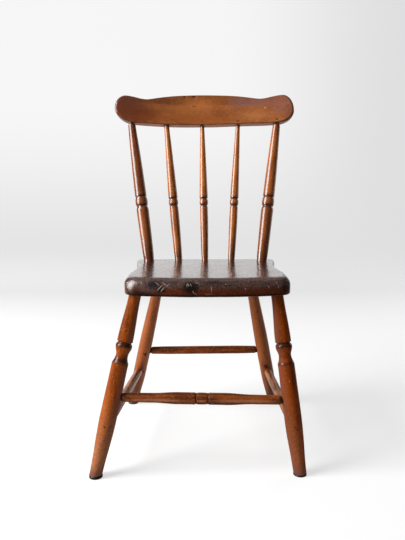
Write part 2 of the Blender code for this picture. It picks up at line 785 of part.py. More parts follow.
def bend_board(mesh):
    """Slice a board across its length and bend it to the crest rail's curve."""
    work = bmesh.new()
    work.from_mesh(mesh)
    slices = int(CREST_HALF / CREST_SLICE)
    for number in range(-slices, slices + 1):
        bmesh.ops.bisect_plane(
            work,
            geom=work.verts[:] + work.edges[:] + work.faces[:],
            dist=0.00001,
            plane_co=(number * CREST_SLICE, 0.0, 0.0),
            plane_no=(1.0, 0.0, 0.0),
        )
    for vert in work.verts:
        vert.co.z -= crest_bend(vert.co.x)
    work.to_mesh(mesh)
    work.free()


def post_profile(length, lean):
    """Stations of a back post, from its socket in the seat to its tenon in the crest rail."""
    foot = POST_FOOT_D / 2.0
    belly = POST_BELLY_D / 2.0
    groove = POST_GROOVE_D / 2.0
    arm = POST_ARM_D / 2.0
    neck = POST_NECK_D / 2.0
    tenon = POST_TENON_D / 2.0
    profile = [(-POST_TENON, foot), (STRAIGHT_END, foot)]
    profile += taper(profile[-1], (POST_BELLY, belly), POST_BELLY_POWER, 5)
    profile += taper(profile[-1], (POST_BELLY + POST_SHOULDER, groove), 2.0, 3)
    profile.append((profile[-1][0] + POST_GROOVE / 2.0, groove))
    profile += bead(profile[-1], POST_BEAD, POST_BEAD_D / 2.0)
    profile.append((profile[-1][0] + POST_GROOVE / 2.0, groove))
    profile.append((profile[-1][0] + POST_GROOVE / 2.0, arm))
    under_crest = length - FIT_GAP - neck * math.tan(lean)
    profile += taper(profile[-1], (under_crest - POST_NECK, neck), POST_TAPER_POWER)
    profile.append((under_crest, tenon))
    profile.append((length + CREST_TENON, tenon))
    return profile


def spindle_profile(length, extra):
    """Stations of a spindle, a little thicker or thinner than the pattern."""
    foot = (SPINDLE_FOOT_D + extra) / 2.0
    groove = (SPINDLE_GROOVE_D + extra) / 2.0
    top = (SPINDLE_TOP_D + extra) / 2.0
    profile = [(-SPINDLE_TENON, foot), (STRAIGHT_END, foot)]
    profile += taper(profile[-1], (SPINDLE_BELLY, (SPINDLE_BELLY_D + extra) / 2.0), SPINDLE_BELLY_POWER, 5)
    shoulder = SPINDLE_BELLY + SPINDLE_SHOULDER
    profile.append((shoulder, (SPINDLE_SHOULDER_D + extra) / 2.0))
    profile.append((shoulder + SPINDLE_GROOVE, groove))
    profile += bead(profile[-1], SPINDLE_BEAD, (SPINDLE_BEAD_D + extra) / 2.0)
    profile += ease(profile[-1], (profile[-1][0] + SPINDLE_GROOVE, (SPINDLE_ARM_D + extra) / 2.0), 2)
    profile += taper(profile[-1], (length - STRAIGHT_END, top), SPINDLE_TAPER_POWER)
    profile.append((length + CREST_TENON, top))
    return profile


def build_upright(name, base, top_x, shape, finish, sizes, seat, crest, parts, cutters):
    """A post or spindle between the seat and the crest rail, with its two sockets and its brad."""
    foot_radius, tenon_radius, seat_tenon = sizes
    top = crest_point(top_x, 0.0, 0.0)
    up = (top - base).normalized()
    lean = up.angle(Vector((0.0, math.sin(BACK_RAKE), math.cos(BACK_RAKE))))
    upright = turned(name, shape((top - base).length, lean), base, up, parts)
    finish_piece(upright, finish)
    bore_socket(seat, name, base, -up, seat_tenon, foot_radius, cutters)
    bore_socket(crest, name, top, up, CREST_TENON, tenon_radius, cutters)
    tenon_x = (top + up * (CREST_BRAD_RISE / math.cos(lean))).x
    outward = crest_front(tenon_x)
    face_x = tenon_x + outward.x * CREST_THICKNESS / 2.0
    head_point = crest_point(face_x, CREST_BRAD_RISE, CREST_THICKNESS / 2.0) + outward * BRAD_PROUD
    profile = pin_profile(BRAD_HEAD_D, BRAD_HEAD, BRAD_D, CREST_BRAD_LENGTH)
    drive_pin(f"brad_{name}", profile, head_point, -outward, [crest, upright], parts, cutters)


def build_back(seat, parts, cutters):
    """The crest rail, its two posts and the three spindles between them."""
    crest = build_crest(parts)
    sizes = (POST_FOOT_D / 2.0, POST_TENON_D / 2.0, POST_TENON)
    for side, name in enumerate(("post_left", "post_right")):
        build_upright(
            name, post_base(side), post_top_x(side), post_profile, "post", sizes, seat, crest, parts, cutters
        )
    for number, name in enumerate(("spindle_left", "spindle_centre", "spindle_right")):
        share = (number + 1) / 4.0
        extra = SPINDLE_EXTRA_D[number]
        base_x = mix(post_base(0).x, post_base(1).x, share) + SPINDLE_BASE_DRIFT[number]
        top_x = mix(post_top_x(0), post_top_x(1), share) + SPINDLE_TOP_DRIFT[number]
        base = Vector((base_x, SEAT_REAR_Y - SPINDLE_REAR_INSET[number], SEAT_TOP))
        sizes = ((SPINDLE_FOOT_D + extra) / 2.0, (SPINDLE_TOP_D + extra) / 2.0, SPINDLE_TENON)

        def shape(length, lean, extra=extra):
            """The spindle's stations, which don't depend on its lean."""
            return spindle_profile(length, extra)

        build_upright(name, base, top_x, shape, "spindle", sizes, seat, crest, parts, cutters)


def centre_over_floor(parts, cutters):
    """Hang everything on one empty, placed so that the chair's box is centred over the origin."""
    bpy.context.view_layer.update()
    depsgraph = bpy.context.evaluated_depsgraph_get()
    low = Vector((math.inf, math.inf))
    high = Vector((-math.inf, -math.inf))
    for piece in parts.objects:
        shaped = piece.evaluated_get(depsgraph)
        for vert in shaped.data.vertices:
            place = shaped.matrix_world @ vert.co
            low = Vector(map(min, low, place.xy))
            high = Vector(map(max, high, place.xy))
    origin = bpy.data.objects.new("chair_origin", None)
    bpy.context.scene.collection.objects.link(origin)
    for piece in [*parts.objects, *cutters.objects]:
        piece.parent = origin
    middle = (low + high) / 2.0
    origin.location = (-middle.x, -middle.y, 0.0)
    bpy.context.view_layer.update()


def main():
    """Build the chair from an empty scene."""
    clear_scene()
    parts = new_collection(OBJECT_NAME)
    cutters = new_collection(f"{OBJECT_NAME}_cutters")
    seat = build_seat(parts)
    build_undercarriage(seat, parts, cutters)
    build_back(seat, parts, cutters)
    centre_over_floor(parts, cutters)


main()
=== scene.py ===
"""Dresses a plank seat side chair, turned and varnished a long time ago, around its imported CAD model.

Lengths are metres. In the chair's frame X runs across, the front faces -Y and the floor is z = 0. Each
wooden piece is made in its own bench coordinates, a turned piece with its axis along Z from the joint in
the seat and a board lying flat, and is then placed. The bench coordinates stay on the mesh as an
attribute, so that the grain and the stains follow the piece.
"""

import logging
import math
from dataclasses import dataclass, field, replace
from enum import Enum
from functools import reduce
from typing import Callable, Optional, Sequence, Union

import bmesh
import bpy
from mathutils import Euler, Matrix, Vector, noise
from mathutils.bvhtree import BVHTree
from mathutils.geometry import barycentric_transform, interpolate_bezier


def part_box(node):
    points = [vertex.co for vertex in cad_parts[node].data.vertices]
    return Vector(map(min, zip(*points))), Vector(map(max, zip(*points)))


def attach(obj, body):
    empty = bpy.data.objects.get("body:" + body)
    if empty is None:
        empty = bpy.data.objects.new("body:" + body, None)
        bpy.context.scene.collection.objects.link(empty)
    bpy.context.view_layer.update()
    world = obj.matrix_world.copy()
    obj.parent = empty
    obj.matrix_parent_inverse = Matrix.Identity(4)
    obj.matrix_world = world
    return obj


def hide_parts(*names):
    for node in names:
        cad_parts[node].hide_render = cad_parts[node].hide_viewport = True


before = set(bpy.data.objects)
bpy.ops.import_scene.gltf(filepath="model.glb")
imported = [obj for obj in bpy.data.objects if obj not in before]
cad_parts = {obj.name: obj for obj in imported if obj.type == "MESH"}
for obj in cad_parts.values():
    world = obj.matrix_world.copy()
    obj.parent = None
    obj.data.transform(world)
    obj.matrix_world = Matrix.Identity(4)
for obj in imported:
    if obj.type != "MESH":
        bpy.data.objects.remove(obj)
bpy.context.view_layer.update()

LOG = logging.getLogger("chair")
BODY = "root"

Colour = tuple[float, float, float]
Pixel = tuple[float, float]
Span = tuple[float, float, float]
Range = tuple[float, float]
Outline = list[tuple[float, ...]]
Socket = bpy.types.NodeSocket
Material = bpy.types.Material
Feed = Union[Socket, float, Sequence[float]]
Layer = tuple[Feed, Feed]

# Mesh density of turned pieces: sides, the longest step along the axis, and the steps of a small curve
SIDES = 56
STATION = 0.004
CURVE_STEPS = 8

# Worn corners of a turning: how far a corner is rounded, the most of a run that this takes, and the
# least turn that counts as a corner
FILLET = 0.0006
FILLET_SHARE = 0.45
CORNER_TURN = math.radians(16.0)
SHARP_ANGLE = math.radians(38.0)

# How near two points count as one: in an outline or at a clean cut, and in a mesh
TOUCHING = 1e-6
MERGED = 1e-5

# The seat's middle in the chair's frame, from which the chair's place over the floor follows
SEAT_SHIFT_X = 0.0023
SEAT_MIDDLE_Y = 0.0005
SEAT_UNDERSIDE = 0.384
SEAT_THICKNESS = 0.0385
SEAT_HALF = SEAT_THICKNESS / 2.0
SEAT_TOP = SEAT_UNDERSIDE + SEAT_THICKNESS

# Reach of the handles that round a corner, as a share of its size, and the gap in place of the glue
ROUND_REACH = 0.55
FIT_GAP = 0.0003

# What a noise is read between: nearly its whole range, or its lower part, which leaves patches
SPREAD = (0.3, 0.7)
PATCHY = (0.3, 0.6)
EVEN = (1.0, 1.0, 1.0)


def mix(first: float, second: float, share: float) -> float:
    """The value at a share of the way from the first to the second."""
    return first + (second - first) * share


def clamp(value: float) -> float:
    """The value, held between 0 and 1."""
    return min(max(value, 0.0), 1.0)


def ramp(value: float, start: float, reach: float) -> float:
    """How far a value has come past a start, as a share of a reach, held between 0 and 1."""
    return clamp((value - start) / reach)


def stand(name: str, data: bpy.types.ID) -> bpy.types.Object:
    """Make an object of a mesh, camera or light, and stand it in the scene."""
    thing = bpy.data.objects.new(name, data)
    bpy.context.scene.collection.objects.link(thing)
    return thing


def lift(mesh: bmesh.types.BMesh, grown: dict, height: float) -> None:
    """Raise what an extrusion has grown."""
    verts = [item for item in grown["geom"] if isinstance(item, bmesh.types.BMVert)]
    bmesh.ops.translate(mesh, verts=verts, vec=(0.0, 0.0, height))


def chair_origin() -> Vector:
    """Where the chair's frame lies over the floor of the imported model.

    Returns:
        The world position of the chair frame's origin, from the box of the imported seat.
    """
    low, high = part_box("seat")
    middle = (low + high) / 2.0
    return Vector((middle.x - SEAT_SHIFT_X, middle.y - SEAT_MIDDLE_Y, 0.0))


ORIGIN = chair_origin()


class Run(Enum):
    """How the radius changes along a run of a turning."""

    STRAIGHT = "straight"
    SWING = "swing"
    POWER = "power"
    ROUND = "round"


@dataclass
class Turning:
    """The outline of a turned piece: (distance along the axis, radius) stations, and its dark rings."""

    stations: list[Range] = field(default_factory=list)
    rings: list[Span] = field(default_factory=list)

    def end(self) -> Range:
        """The last station."""
        return self.stations[-1]

    def to(self, distance: float, radius: float, run: Run = Run.STRAIGHT, power: float = 1.0) -> "Turning":
        """Carry the outline on to a new station.

        Args:
            distance: Distance of the new station along the axis.
            radius: Radius there.
            run: How the radius changes on the way.
            power: Power of the distance that a POWER run follows.

        Returns:
            The turning itself, so that runs can be chained.
        """
        if not self.stations:
            self.stations.append((distance, radius))
            return self
        start, first = self.end()
        steps = max(1 if run is Run.STRAIGHT else CURVE_STEPS, math.ceil(abs(distance - start) / STATION))
        for step in range(1, steps + 1):
            share = step / steps
            along = share
            if run is Run.SWING:
                swing = (1.0 - math.cos(math.pi * share)) / 2.0
            elif run is Run.POWER:
                swing = share**power
            elif run is Run.ROUND:
                along = 1.0 - math.cos(math.pi / 2.0 * share)
                swing = math.sin(math.pi / 2.0 * share)
            else:
                swing = share
            self.stations.append((mix(start, distance, along), mix(first, radius, swing)))
        return self

    def bead(self, length: float, peak: float) -> "Turning":
        """Add a half round bead that returns to the radius it started from."""
        start, radius = self.end()
        for step in range(1, 2 * CURVE_STEPS + 1):
            angle = math.pi * step / (2 * CURVE_STEPS)
            along = start + length * (1.0 - math.cos(angle)) / 2.0
            self.stations.append((along, mix(radius, peak, math.sin(angle))))
        return self

    def ring(self, distance: float, reach: float, strength: float) -> "Turning":
        """Darken a ring round the piece at a distance, fading over its reach: collected varnish, at some
        rings painted shade.
        """
        self.rings.append((distance, reach, strength))
        return self

    def mirrored(self, length: float) -> "Turning":
        """The same outline, read from the other end of a piece of that length."""
        stations = [(length - distance, radius) for distance, radius in reversed(self.stations)]
        rings = [(length - distance, reach, strength) for distance, reach, strength in self.rings]
        return Turning(stations, rings)

    def rounded(self) -> list[Vector]:
        """The outline with its corners worn round, as points in the XZ plane."""
        points = [Vector((radius, 0.0, distance)) for distance, radius in self.stations]
        worn = [points[0]]
        for before, corner, after in zip(points, points[1:], points[2:]):
            back, on = before - corner, after - corner
            if min(back.length, on.length) < TOUCHING:
                continue
            if math.pi - back.angle(on) < CORNER_TURN:
                worn.append(corner)
                continue
            first = corner + back * min(FILLET / back.length, FILLET_SHARE)
            last = corner + on * min(FILLET / on.length, FILLET_SHARE)
            worn += [first, (first + corner * 2.0 + last) / 4.0, last]
        return worn + [points[-1]]

    def gathered_and_shade(self, distance: float) -> float:
        """How dark the rings make the piece at a distance along the axis, from 0 to 1: varnish and painted
        shade.
        """
        most = 0.0
        for middle, reach, strength in self.rings:
            share = clamp(1.0 - abs(distance - middle) / reach)
            most = max(most, strength * share * share * (3.0 - 2.0 * share))
        return most

    def radius_at(self, distance: float) -> float:
        """The radius at a distance along the axis."""
        for before, after in zip(self.stations, self.stations[1:]):
            if before[0] <= distance <= after[0] and after[0] > before[0]:
                share = (distance - before[0]) / (after[0] - before[0])
                return mix(before[1], after[1], share)
        return self.end()[1]


@dataclass(frozen=True)
class Viewpoint:
    """The photograph's camera, fitted to the chair's feet, seat and crest rail."""

    place: Span = (-0.0181, -1.3086, 0.5990)
    turn: float = 0.0082
    dip: float = 0.1379
    focal: float = 550.0187
    width: float = 405.0
    height: float = 540.0
    sensor: float = 36.0

    def location(self) -> Vector:
        """The camera's place in the world."""
        return ORIGIN + Vector(self.place)

    def forward(self) -> Vector:
        """The direction in which the camera looks."""
        flat = math.cos(self.dip)
        return Vector((math.sin(self.turn) * flat, math.cos(self.turn) * flat, -math.sin(self.dip)))

    def ray(self, pixel: Pixel) -> Vector:
        """The direction from the camera through a pixel of the photograph.

        Args:
            pixel: Distance from the picture's left and from its top.

        Returns:
            The ray's direction in the world.
        """
        across = (pixel[0] - self.width / 2.0) / self.focal
        up = (self.height / 2.0 - pixel[1]) / self.focal
        return (self.forward().to_track_quat("-Z", "Y") @ Vector((across, up, -1.0))).normalized()

    def set_up(self) -> None:
        """Stand the camera in the scene."""
        data = bpy.data.cameras.new("photo_camera")
        data.sensor_fit = "HORIZONTAL"
        data.sensor_width = self.sensor
        data.lens = self.focal * self.sensor / self.width
        camera = stand("photo_camera", data)
        camera.location = self.location()
        camera.rotation_euler = self.forward().to_track_quat("-Z", "Y").to_euler()
        bpy.context.scene.camera = camera


VIEW = Viewpoint()


class Workpiece:
    """A piece in the making, worked on in bench coordinates and then placed in the chair."""

    def __init__(self, name: str) -> None:
        """Lay an empty piece on the bench.

        Args:
            name: Name of the finished object.
        """
        self.name = name
        self.mesh = bmesh.new()
        self.surface: Optional[BVHTree] = None

    def chain(self, points: Sequence[Vector]) -> None:
        """Draw a line through points, each vertex extruded from the one before."""
        last = bmesh.ops.create_vert(self.mesh, co=points[0])["vert"][0]
        for point in points[1:]:
            grown = bmesh.ops.extrude_vert_indiv(self.mesh, verts=[last])
            last = grown["verts"][0]
            bmesh.ops.translate(self.mesh, verts=[last], vec=point - last.co)

    def turn(self, turning: Turning, sides: int = SIDES) -> None:
        """Spin an outline round the bench's Z axis, close its ends and note where its dark rings of varnish
        and shade lie.
        """
        self.chain(turning.rounded())
        geometry = self.mesh.verts[:] + self.mesh.edges[:]
        bmesh.ops.spin(
            self.mesh,
            geom=geometry,
            cent=(0.0, 0.0, 0.0),
            axis=(0.0, 0.0, 1.0),
            dvec=(0.0, 0.0, 0.0),
            angle=math.tau,
            steps=sides,
            use_merge=True,
        )
        self.close_ends()
        layer = self.mesh.verts.layers.float.new("gathered_and_shade")
        for vert in self.mesh.verts:
            vert[layer] = turning.gathered_and_shade(vert.co.z)

    def close_ends(self) -> None:
        """Fill every open rim with a face."""
        rims = [edge for edge in self.mesh.edges if edge.is_boundary]
        bmesh.ops.holes_fill(self.mesh, edges=rims, sides=0)

    def cut(self, place: Sequence[float], normal: Sequence[float], snap: float, clear: bool = False) -> None:
        """Cut the mesh along a plane.

        Args:
            place: A point of the plane.
            normal: The plane's normal.
            snap: How near to the plane a vertex counts as on it.
            clear: Whether the side that the normal points to is taken away.
        """
        whole = self.mesh.verts[:] + self.mesh.edges[:] + self.mesh.faces[:]
        bmesh.ops.bisect_plane(
            self.mesh, geom=whole, dist=snap, plane_co=place, plane_no=normal, clear_outer=clear
        )

    def slice_across(self, axis: int, low: float, high: float, spacing: float) -> None:
        """Cut the mesh by evenly spaced planes square to an axis, so that it can be shaped finely."""
        normal = Vector((0.0, 0.0, 0.0))
        normal[axis] = 1.0
        for step in range(math.ceil(low / spacing), math.floor(high / spacing) + 1):
            self.cut(normal * (step * spacing), normal, MERGED)

    def roughen(self, height: float, size: float) -> None:
        """Raise and lower the surface along its normals, as hand tools and age leave it.

        Args:
            height: The most that a point moves.
            size: Size of one swelling.
        """
        self.mesh.normal_update()
        moves = [(vert, vert.normal * noise.noise(vert.co / size) * height) for vert in self.mesh.verts]
        for vert, move in moves:
            vert.co += move

    def settle(self, add_modifiers: Callable[[bpy.types.Object], None]) -> None:
        """Give the mesh the shape that modifiers make of it.

        Args:
            add_modifiers: Adds the modifiers to the object that it is given.
        """
        rough = bpy.data.meshes.new(self.name)
        self.mesh.to_mesh(rough)
        holder = stand(self.name, rough)
        add_modifiers(holder)
        depsgraph = bpy.context.evaluated_depsgraph_get()
        shaped = bpy.data.meshes.new_from_object(holder.evaluated_get(depsgraph))
        self.mesh.clear()
        self.mesh.from_mesh(shaped)
        bpy.data.objects.remove(holder, do_unlink=True)
        bpy.data.meshes.remove(rough)
        bpy.data.meshes.remove(shaped)

    def keep_bench_coordinates(self) -> None:
        """Write each vertex's bench coordinates to the attribute that the finishes read."""
        layer = self.mesh.verts.layers.float_vector.new("bench")
        for vert in self.mesh.verts:
            vert[layer] = vert.co

    def move(self, place: Vector, turn: Matrix) -> None:
        """Turn the piece and carry it to a place in the world."""
        bmesh.ops.transform(self.mesh, matrix=Matrix.Translation(place) @ turn, verts=self.mesh.verts)

    def place(self, start: Vector, direction: Vector) -> None:
        """Stand the piece on a point with its Z axis along a direction, both in the chair's frame."""
        self.move(ORIGIN + start, direction.to_track_quat("Z", "Y").to_matrix().to_4x4())

    @classmethod
    def turned(cls, name: str, turning: Turning, swelling: Range, start: Vector, up: Vector) -> "Workpiece":
        """Turn a piece of wood and place it in the chair.

        Args:
            name: Name of the finished object.
            turning: Its outline.
            swelling: Height and size of the unevenness of its surface.
            start: Where its axis starts, in the chair's frame.
            up: The direction of its axis.

        Returns:
            The placed piece.
        """
        wood = cls(name)
        wood.turn(turning)
        wood.roughen(*swelling)
        wood.keep_bench_coordinates()
        wood.place(start, up)
        return wood

    def at_pixel(self, pixel: Pixel) -> tuple[Vector, Vector, Vector]:
        """The point of the placed piece that the camera sees at a pixel.

        Args:
            pixel: Distance from the picture's left and from its top.

        Returns:
            The point in the world, the same point in bench coordinates, and the surface's normal there.
        """
        if self.surface is None:
            self.mesh.faces.ensure_lookup_table()
            self.surface = BVHTree.FromBMesh(self.mesh)
        hit, _, index, _ = self.surface.ray_cast(VIEW.location(), VIEW.ray(pixel))
        if hit is None:
            raise ValueError(f"{self.name} is not seen at {pixel}")
        layer = self.mesh.verts.layers.float_vector["bench"]
        corners = self.mesh.faces[index].verts[:3]
        places = [corner.co for corner in corners]
        benches = [corner[layer] for corner in corners]
        normal = (benches[1] - benches[0]).cross(benches[2] - benches[0]).normalized()
        return hit, barycentric_transform(hit, *places, *benches), normal

    def dent(self, centre: Vector, reach: Span, depth: float, inward: Vector) -> None:
        """Press the placed surface in round a point.

        Args:
            centre: The dent's middle in the world.
            reach: How far it reaches along X, Y and Z.
            depth: How deep its middle is.
            inward: The direction in which it is pressed.
        """
        self.surface = None
        for vert in self.mesh.verts:
            away = vert.co - centre
            share = math.sqrt(sum((away[axis] / reach[axis]) ** 2 for axis in range(3)))
            if share < 1.0:
                vert.co += inward * depth * (1.0 - share * share) ** 2

    def finish(self, node: str, slot: str, material: Material) -> bpy.types.Object:
        """Turn the mesh into the object that stands for a CAD node.

        Args:
            node: The CAD node that it replaces.
            slot: Not used.
            material: Its finish.

        Returns:
            The finished object, riding on the chair's one body.
        """
        bmesh.ops.recalc_face_normals(self.mesh, faces=self.mesh.faces)
        for face in self.mesh.faces:
            face.smooth = True
        for edge in self.mesh.edges:
            edge.smooth = edge.calc_face_angle(0.0) < SHARP_ANGLE
        data = bpy.data.meshes.new(self.name)
        self.mesh.to_mesh(data)
        self.mesh.free()
        piece = stand(self.name, data)
        data.materials.append(material)
        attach(piece, BODY)
        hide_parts(node)
        LOG.info("%s: %d faces", self.name, len(data.polygons))
        return piece


@dataclass(frozen=True)
class Mark:
    """A spot, scratch or stained patch, as an ellipsoid in a piece's bench coordinates."""

    place: Vector
    half: Span
    colour: Colour
    strength: float = 1.0
    core: float = 0.5
    turn: Span = (0.0, 0.0, 0.0)


class Sheet:
    """A material's sheet of nodes, with short ways to lay the nodes that the finishes share."""

    def __init__(self, name: str) -> None:
        """Start a material with a Principled shader.

        Args:
            name: Name of the material.
        """
        self.material = bpy.data.materials.new(name)
        self.material.use_nodes = True
        self.tree = self.material.node_tree
        self.shader = self.tree.nodes["Principled BSDF"]

    def feed(self, socket: Socket, value: Feed) -> None:
        """Link a socket, or set its value."""
        if isinstance(value, Socket):
            self.tree.links.new(value, socket)
        elif socket.type == "RGBA" and len(value) == 3:
            socket.default_value = (*value, 1.0)
        else:
            socket.default_value = value

    def shade(self, feeds: dict[str, Feed]) -> Material:
        """Feed the shader's inputs by name, and hand over the finished material."""
        for name, value in feeds.items():
            self.feed(self.shader.inputs[name], value)
        return self.material

    def lay(self, kind: str, feeds: dict, **settings: object) -> bpy.types.Node:
        """Add a node.

        Args:
            kind: The node's type, without its ShaderNode prefix.
            feeds: What goes into its inputs, by name or number.
            **settings: Its properties.

        Returns:
            The new node.
        """
        node = self.tree.nodes.new(f"ShaderNode{kind}")
        for name, value in settings.items():
            setattr(node, name, value)
        for key, value in feeds.items():
            self.feed(node.inputs[key], value)
        return node

    def attribute(self, name: str, output: str) -> Socket:
        """An attribute of the piece's own mesh."""
        return self.lay("Attribute", {}, attribute_name=name).outputs[output]

    def split(self, vector: Union[Socket, str]) -> Sequence[Socket]:
        """The X, Y and Z of a vector, or of one of the surface's own coordinates, given by its name."""
        if isinstance(vector, str):
            vector = self.lay("TexCoord", {}).outputs[vector]
        return self.lay("SeparateXYZ", {0: vector}).outputs

    def shifted(self, vector: Feed, stretch: Span, shift: float) -> Socket:
        """Coordinates stretched along each axis and moved, so that no two pieces share a pattern."""
        feeds = {"Vector": vector, "Scale": stretch, "Location": (shift, shift * 0.37, shift * 0.61)}
        return self.lay("Mapping", feeds).outputs[0]

    def cloud(self, vector: Feed, scale: float, detail: float = 3.0, swirl: float = 0.0) -> Socket:
        """Noise between 0 and 1, with a number of features to the metre."""
        feeds = {"Vector": vector, "Scale": scale, "Detail": detail, "Distortion": swirl}
        return self.lay("TexNoise", feeds).outputs[0]

    def graph(
        self, value: Feed, low: float, high: float, to_low: float = 0.0, to_high: float = 1.0
    ) -> Socket:
        """A value eased from one range to another, and held at its ends."""
        feeds = {"Value": value, "From Min": low, "From Max": high, "To Min": to_low, "To Max": to_high}
        return self.lay("MapRange", feeds, interpolation_type="SMOOTHSTEP").outputs[0]

    def maths(self, operation: str, first: Feed, second: Feed) -> Socket:
        """A sum, product or other operation on two values."""
        return self.lay("Math", {0: first, 1: second}, operation=operation).outputs[0]

    def times(self, first: Feed, second: Feed) -> Socket:
        """The product of two values."""
        return self.maths("MULTIPLY", first, second)

    def most(self, *values: Feed) -> Feed:
        """The highest of several values."""
        return reduce(lambda first, second: self.maths("MAXIMUM", first, second), values)

    def weighted(self, *parts: tuple[Feed, float]) -> Feed:
        """The sum of several values, each times its weight."""
        values = [self.times(value, weight) for value, weight in parts]
        return reduce(lambda first, second: self.maths("ADD", first, second), values)

    def broken(self, mask: Feed, noise: Feed, least: float) -> Socket:
        """A mask that a noise breaks up into patches, where it keeps at least a share of its strength."""
        return self.times(mask, self.graph(noise, *PATCHY, least, 1.0))

    def over(self, share: Feed, under: Feed, colour: Feed) -> Socket:
        """A colour laid over another by a share of its strength."""
        return self.lay("Mix", {0: share, 6: under, 7: colour}, data_type="RGBA").outputs[2]

    def layered(self, colour: Feed, layers: Sequence[Layer]) -> Feed:
        """A colour with layers laid over it in turn, each one a mask and a colour."""
        for mask, layer in layers:
            colour = self.over(mask, colour, layer)
        return colour

    def ragged(self, bench: Feed, scale: float, reach: float) -> Socket:
        """Bench coordinates pushed about, so that marks have uneven edges."""
        push = self.lay("TexNoise", {"Vector": bench, "Scale": scale, "Detail": 4.0}).outputs["Color"]
        centred = self.lay("VectorMath", {0: push, 1: (0.5, 0.5, 0.5)}, operation="SUBTRACT").outputs[0]
        small = self.lay("VectorMath", {0: centred, "Scale": reach}, operation="SCALE").outputs[0]
        return self.lay("VectorMath", {0: bench, 1: small}, operation="ADD").outputs[0]

    def mask(self, coordinates: Feed, mark: Mark) -> Socket:
        """How strongly a mark covers each point, from 0 outside it to its strength in its core."""
        feeds = {"Vector": coordinates, "Location": mark.place, "Rotation": mark.turn, "Scale": mark.half}
        local = self.lay("Mapping", feeds, vector_type="TEXTURE").outputs[0]
        away = self.lay("VectorMath", {0: local}, operation="LENGTH").outputs["Value"]
        return self.graph(away, mark.core, 1.0, mark.strength, 0.0)

    def marks(
        self, bench: Feed, marks: Sequence[Mark], scale: float = 420.0, reach: float = 0.0022
    ) -> list[Layer]:
        """The layers of several marks with uneven edges.

        Args:
            bench: The piece's bench coordinates.
            marks: The marks, the lowest first.
            scale: Features of the unevenness to the metre.
            reach: How far the edges are pushed about.

        Returns:
            The mask and the colour of each mark.
        """
        uneven = self.ragged(bench, scale, reach)
        return [(self.mask(uneven, mark), mark.colour) for mark in marks]

    def bump(self, height: Feed, distance: float) -> None:
        """Raise the shader's surface by a height between 0 and 1 times a distance."""
        node = self.lay("Bump", {"Height": height, "Distance": distance, "Strength": 1.0})
        self.feed(self.shader.inputs["Normal"], node.outputs[0])


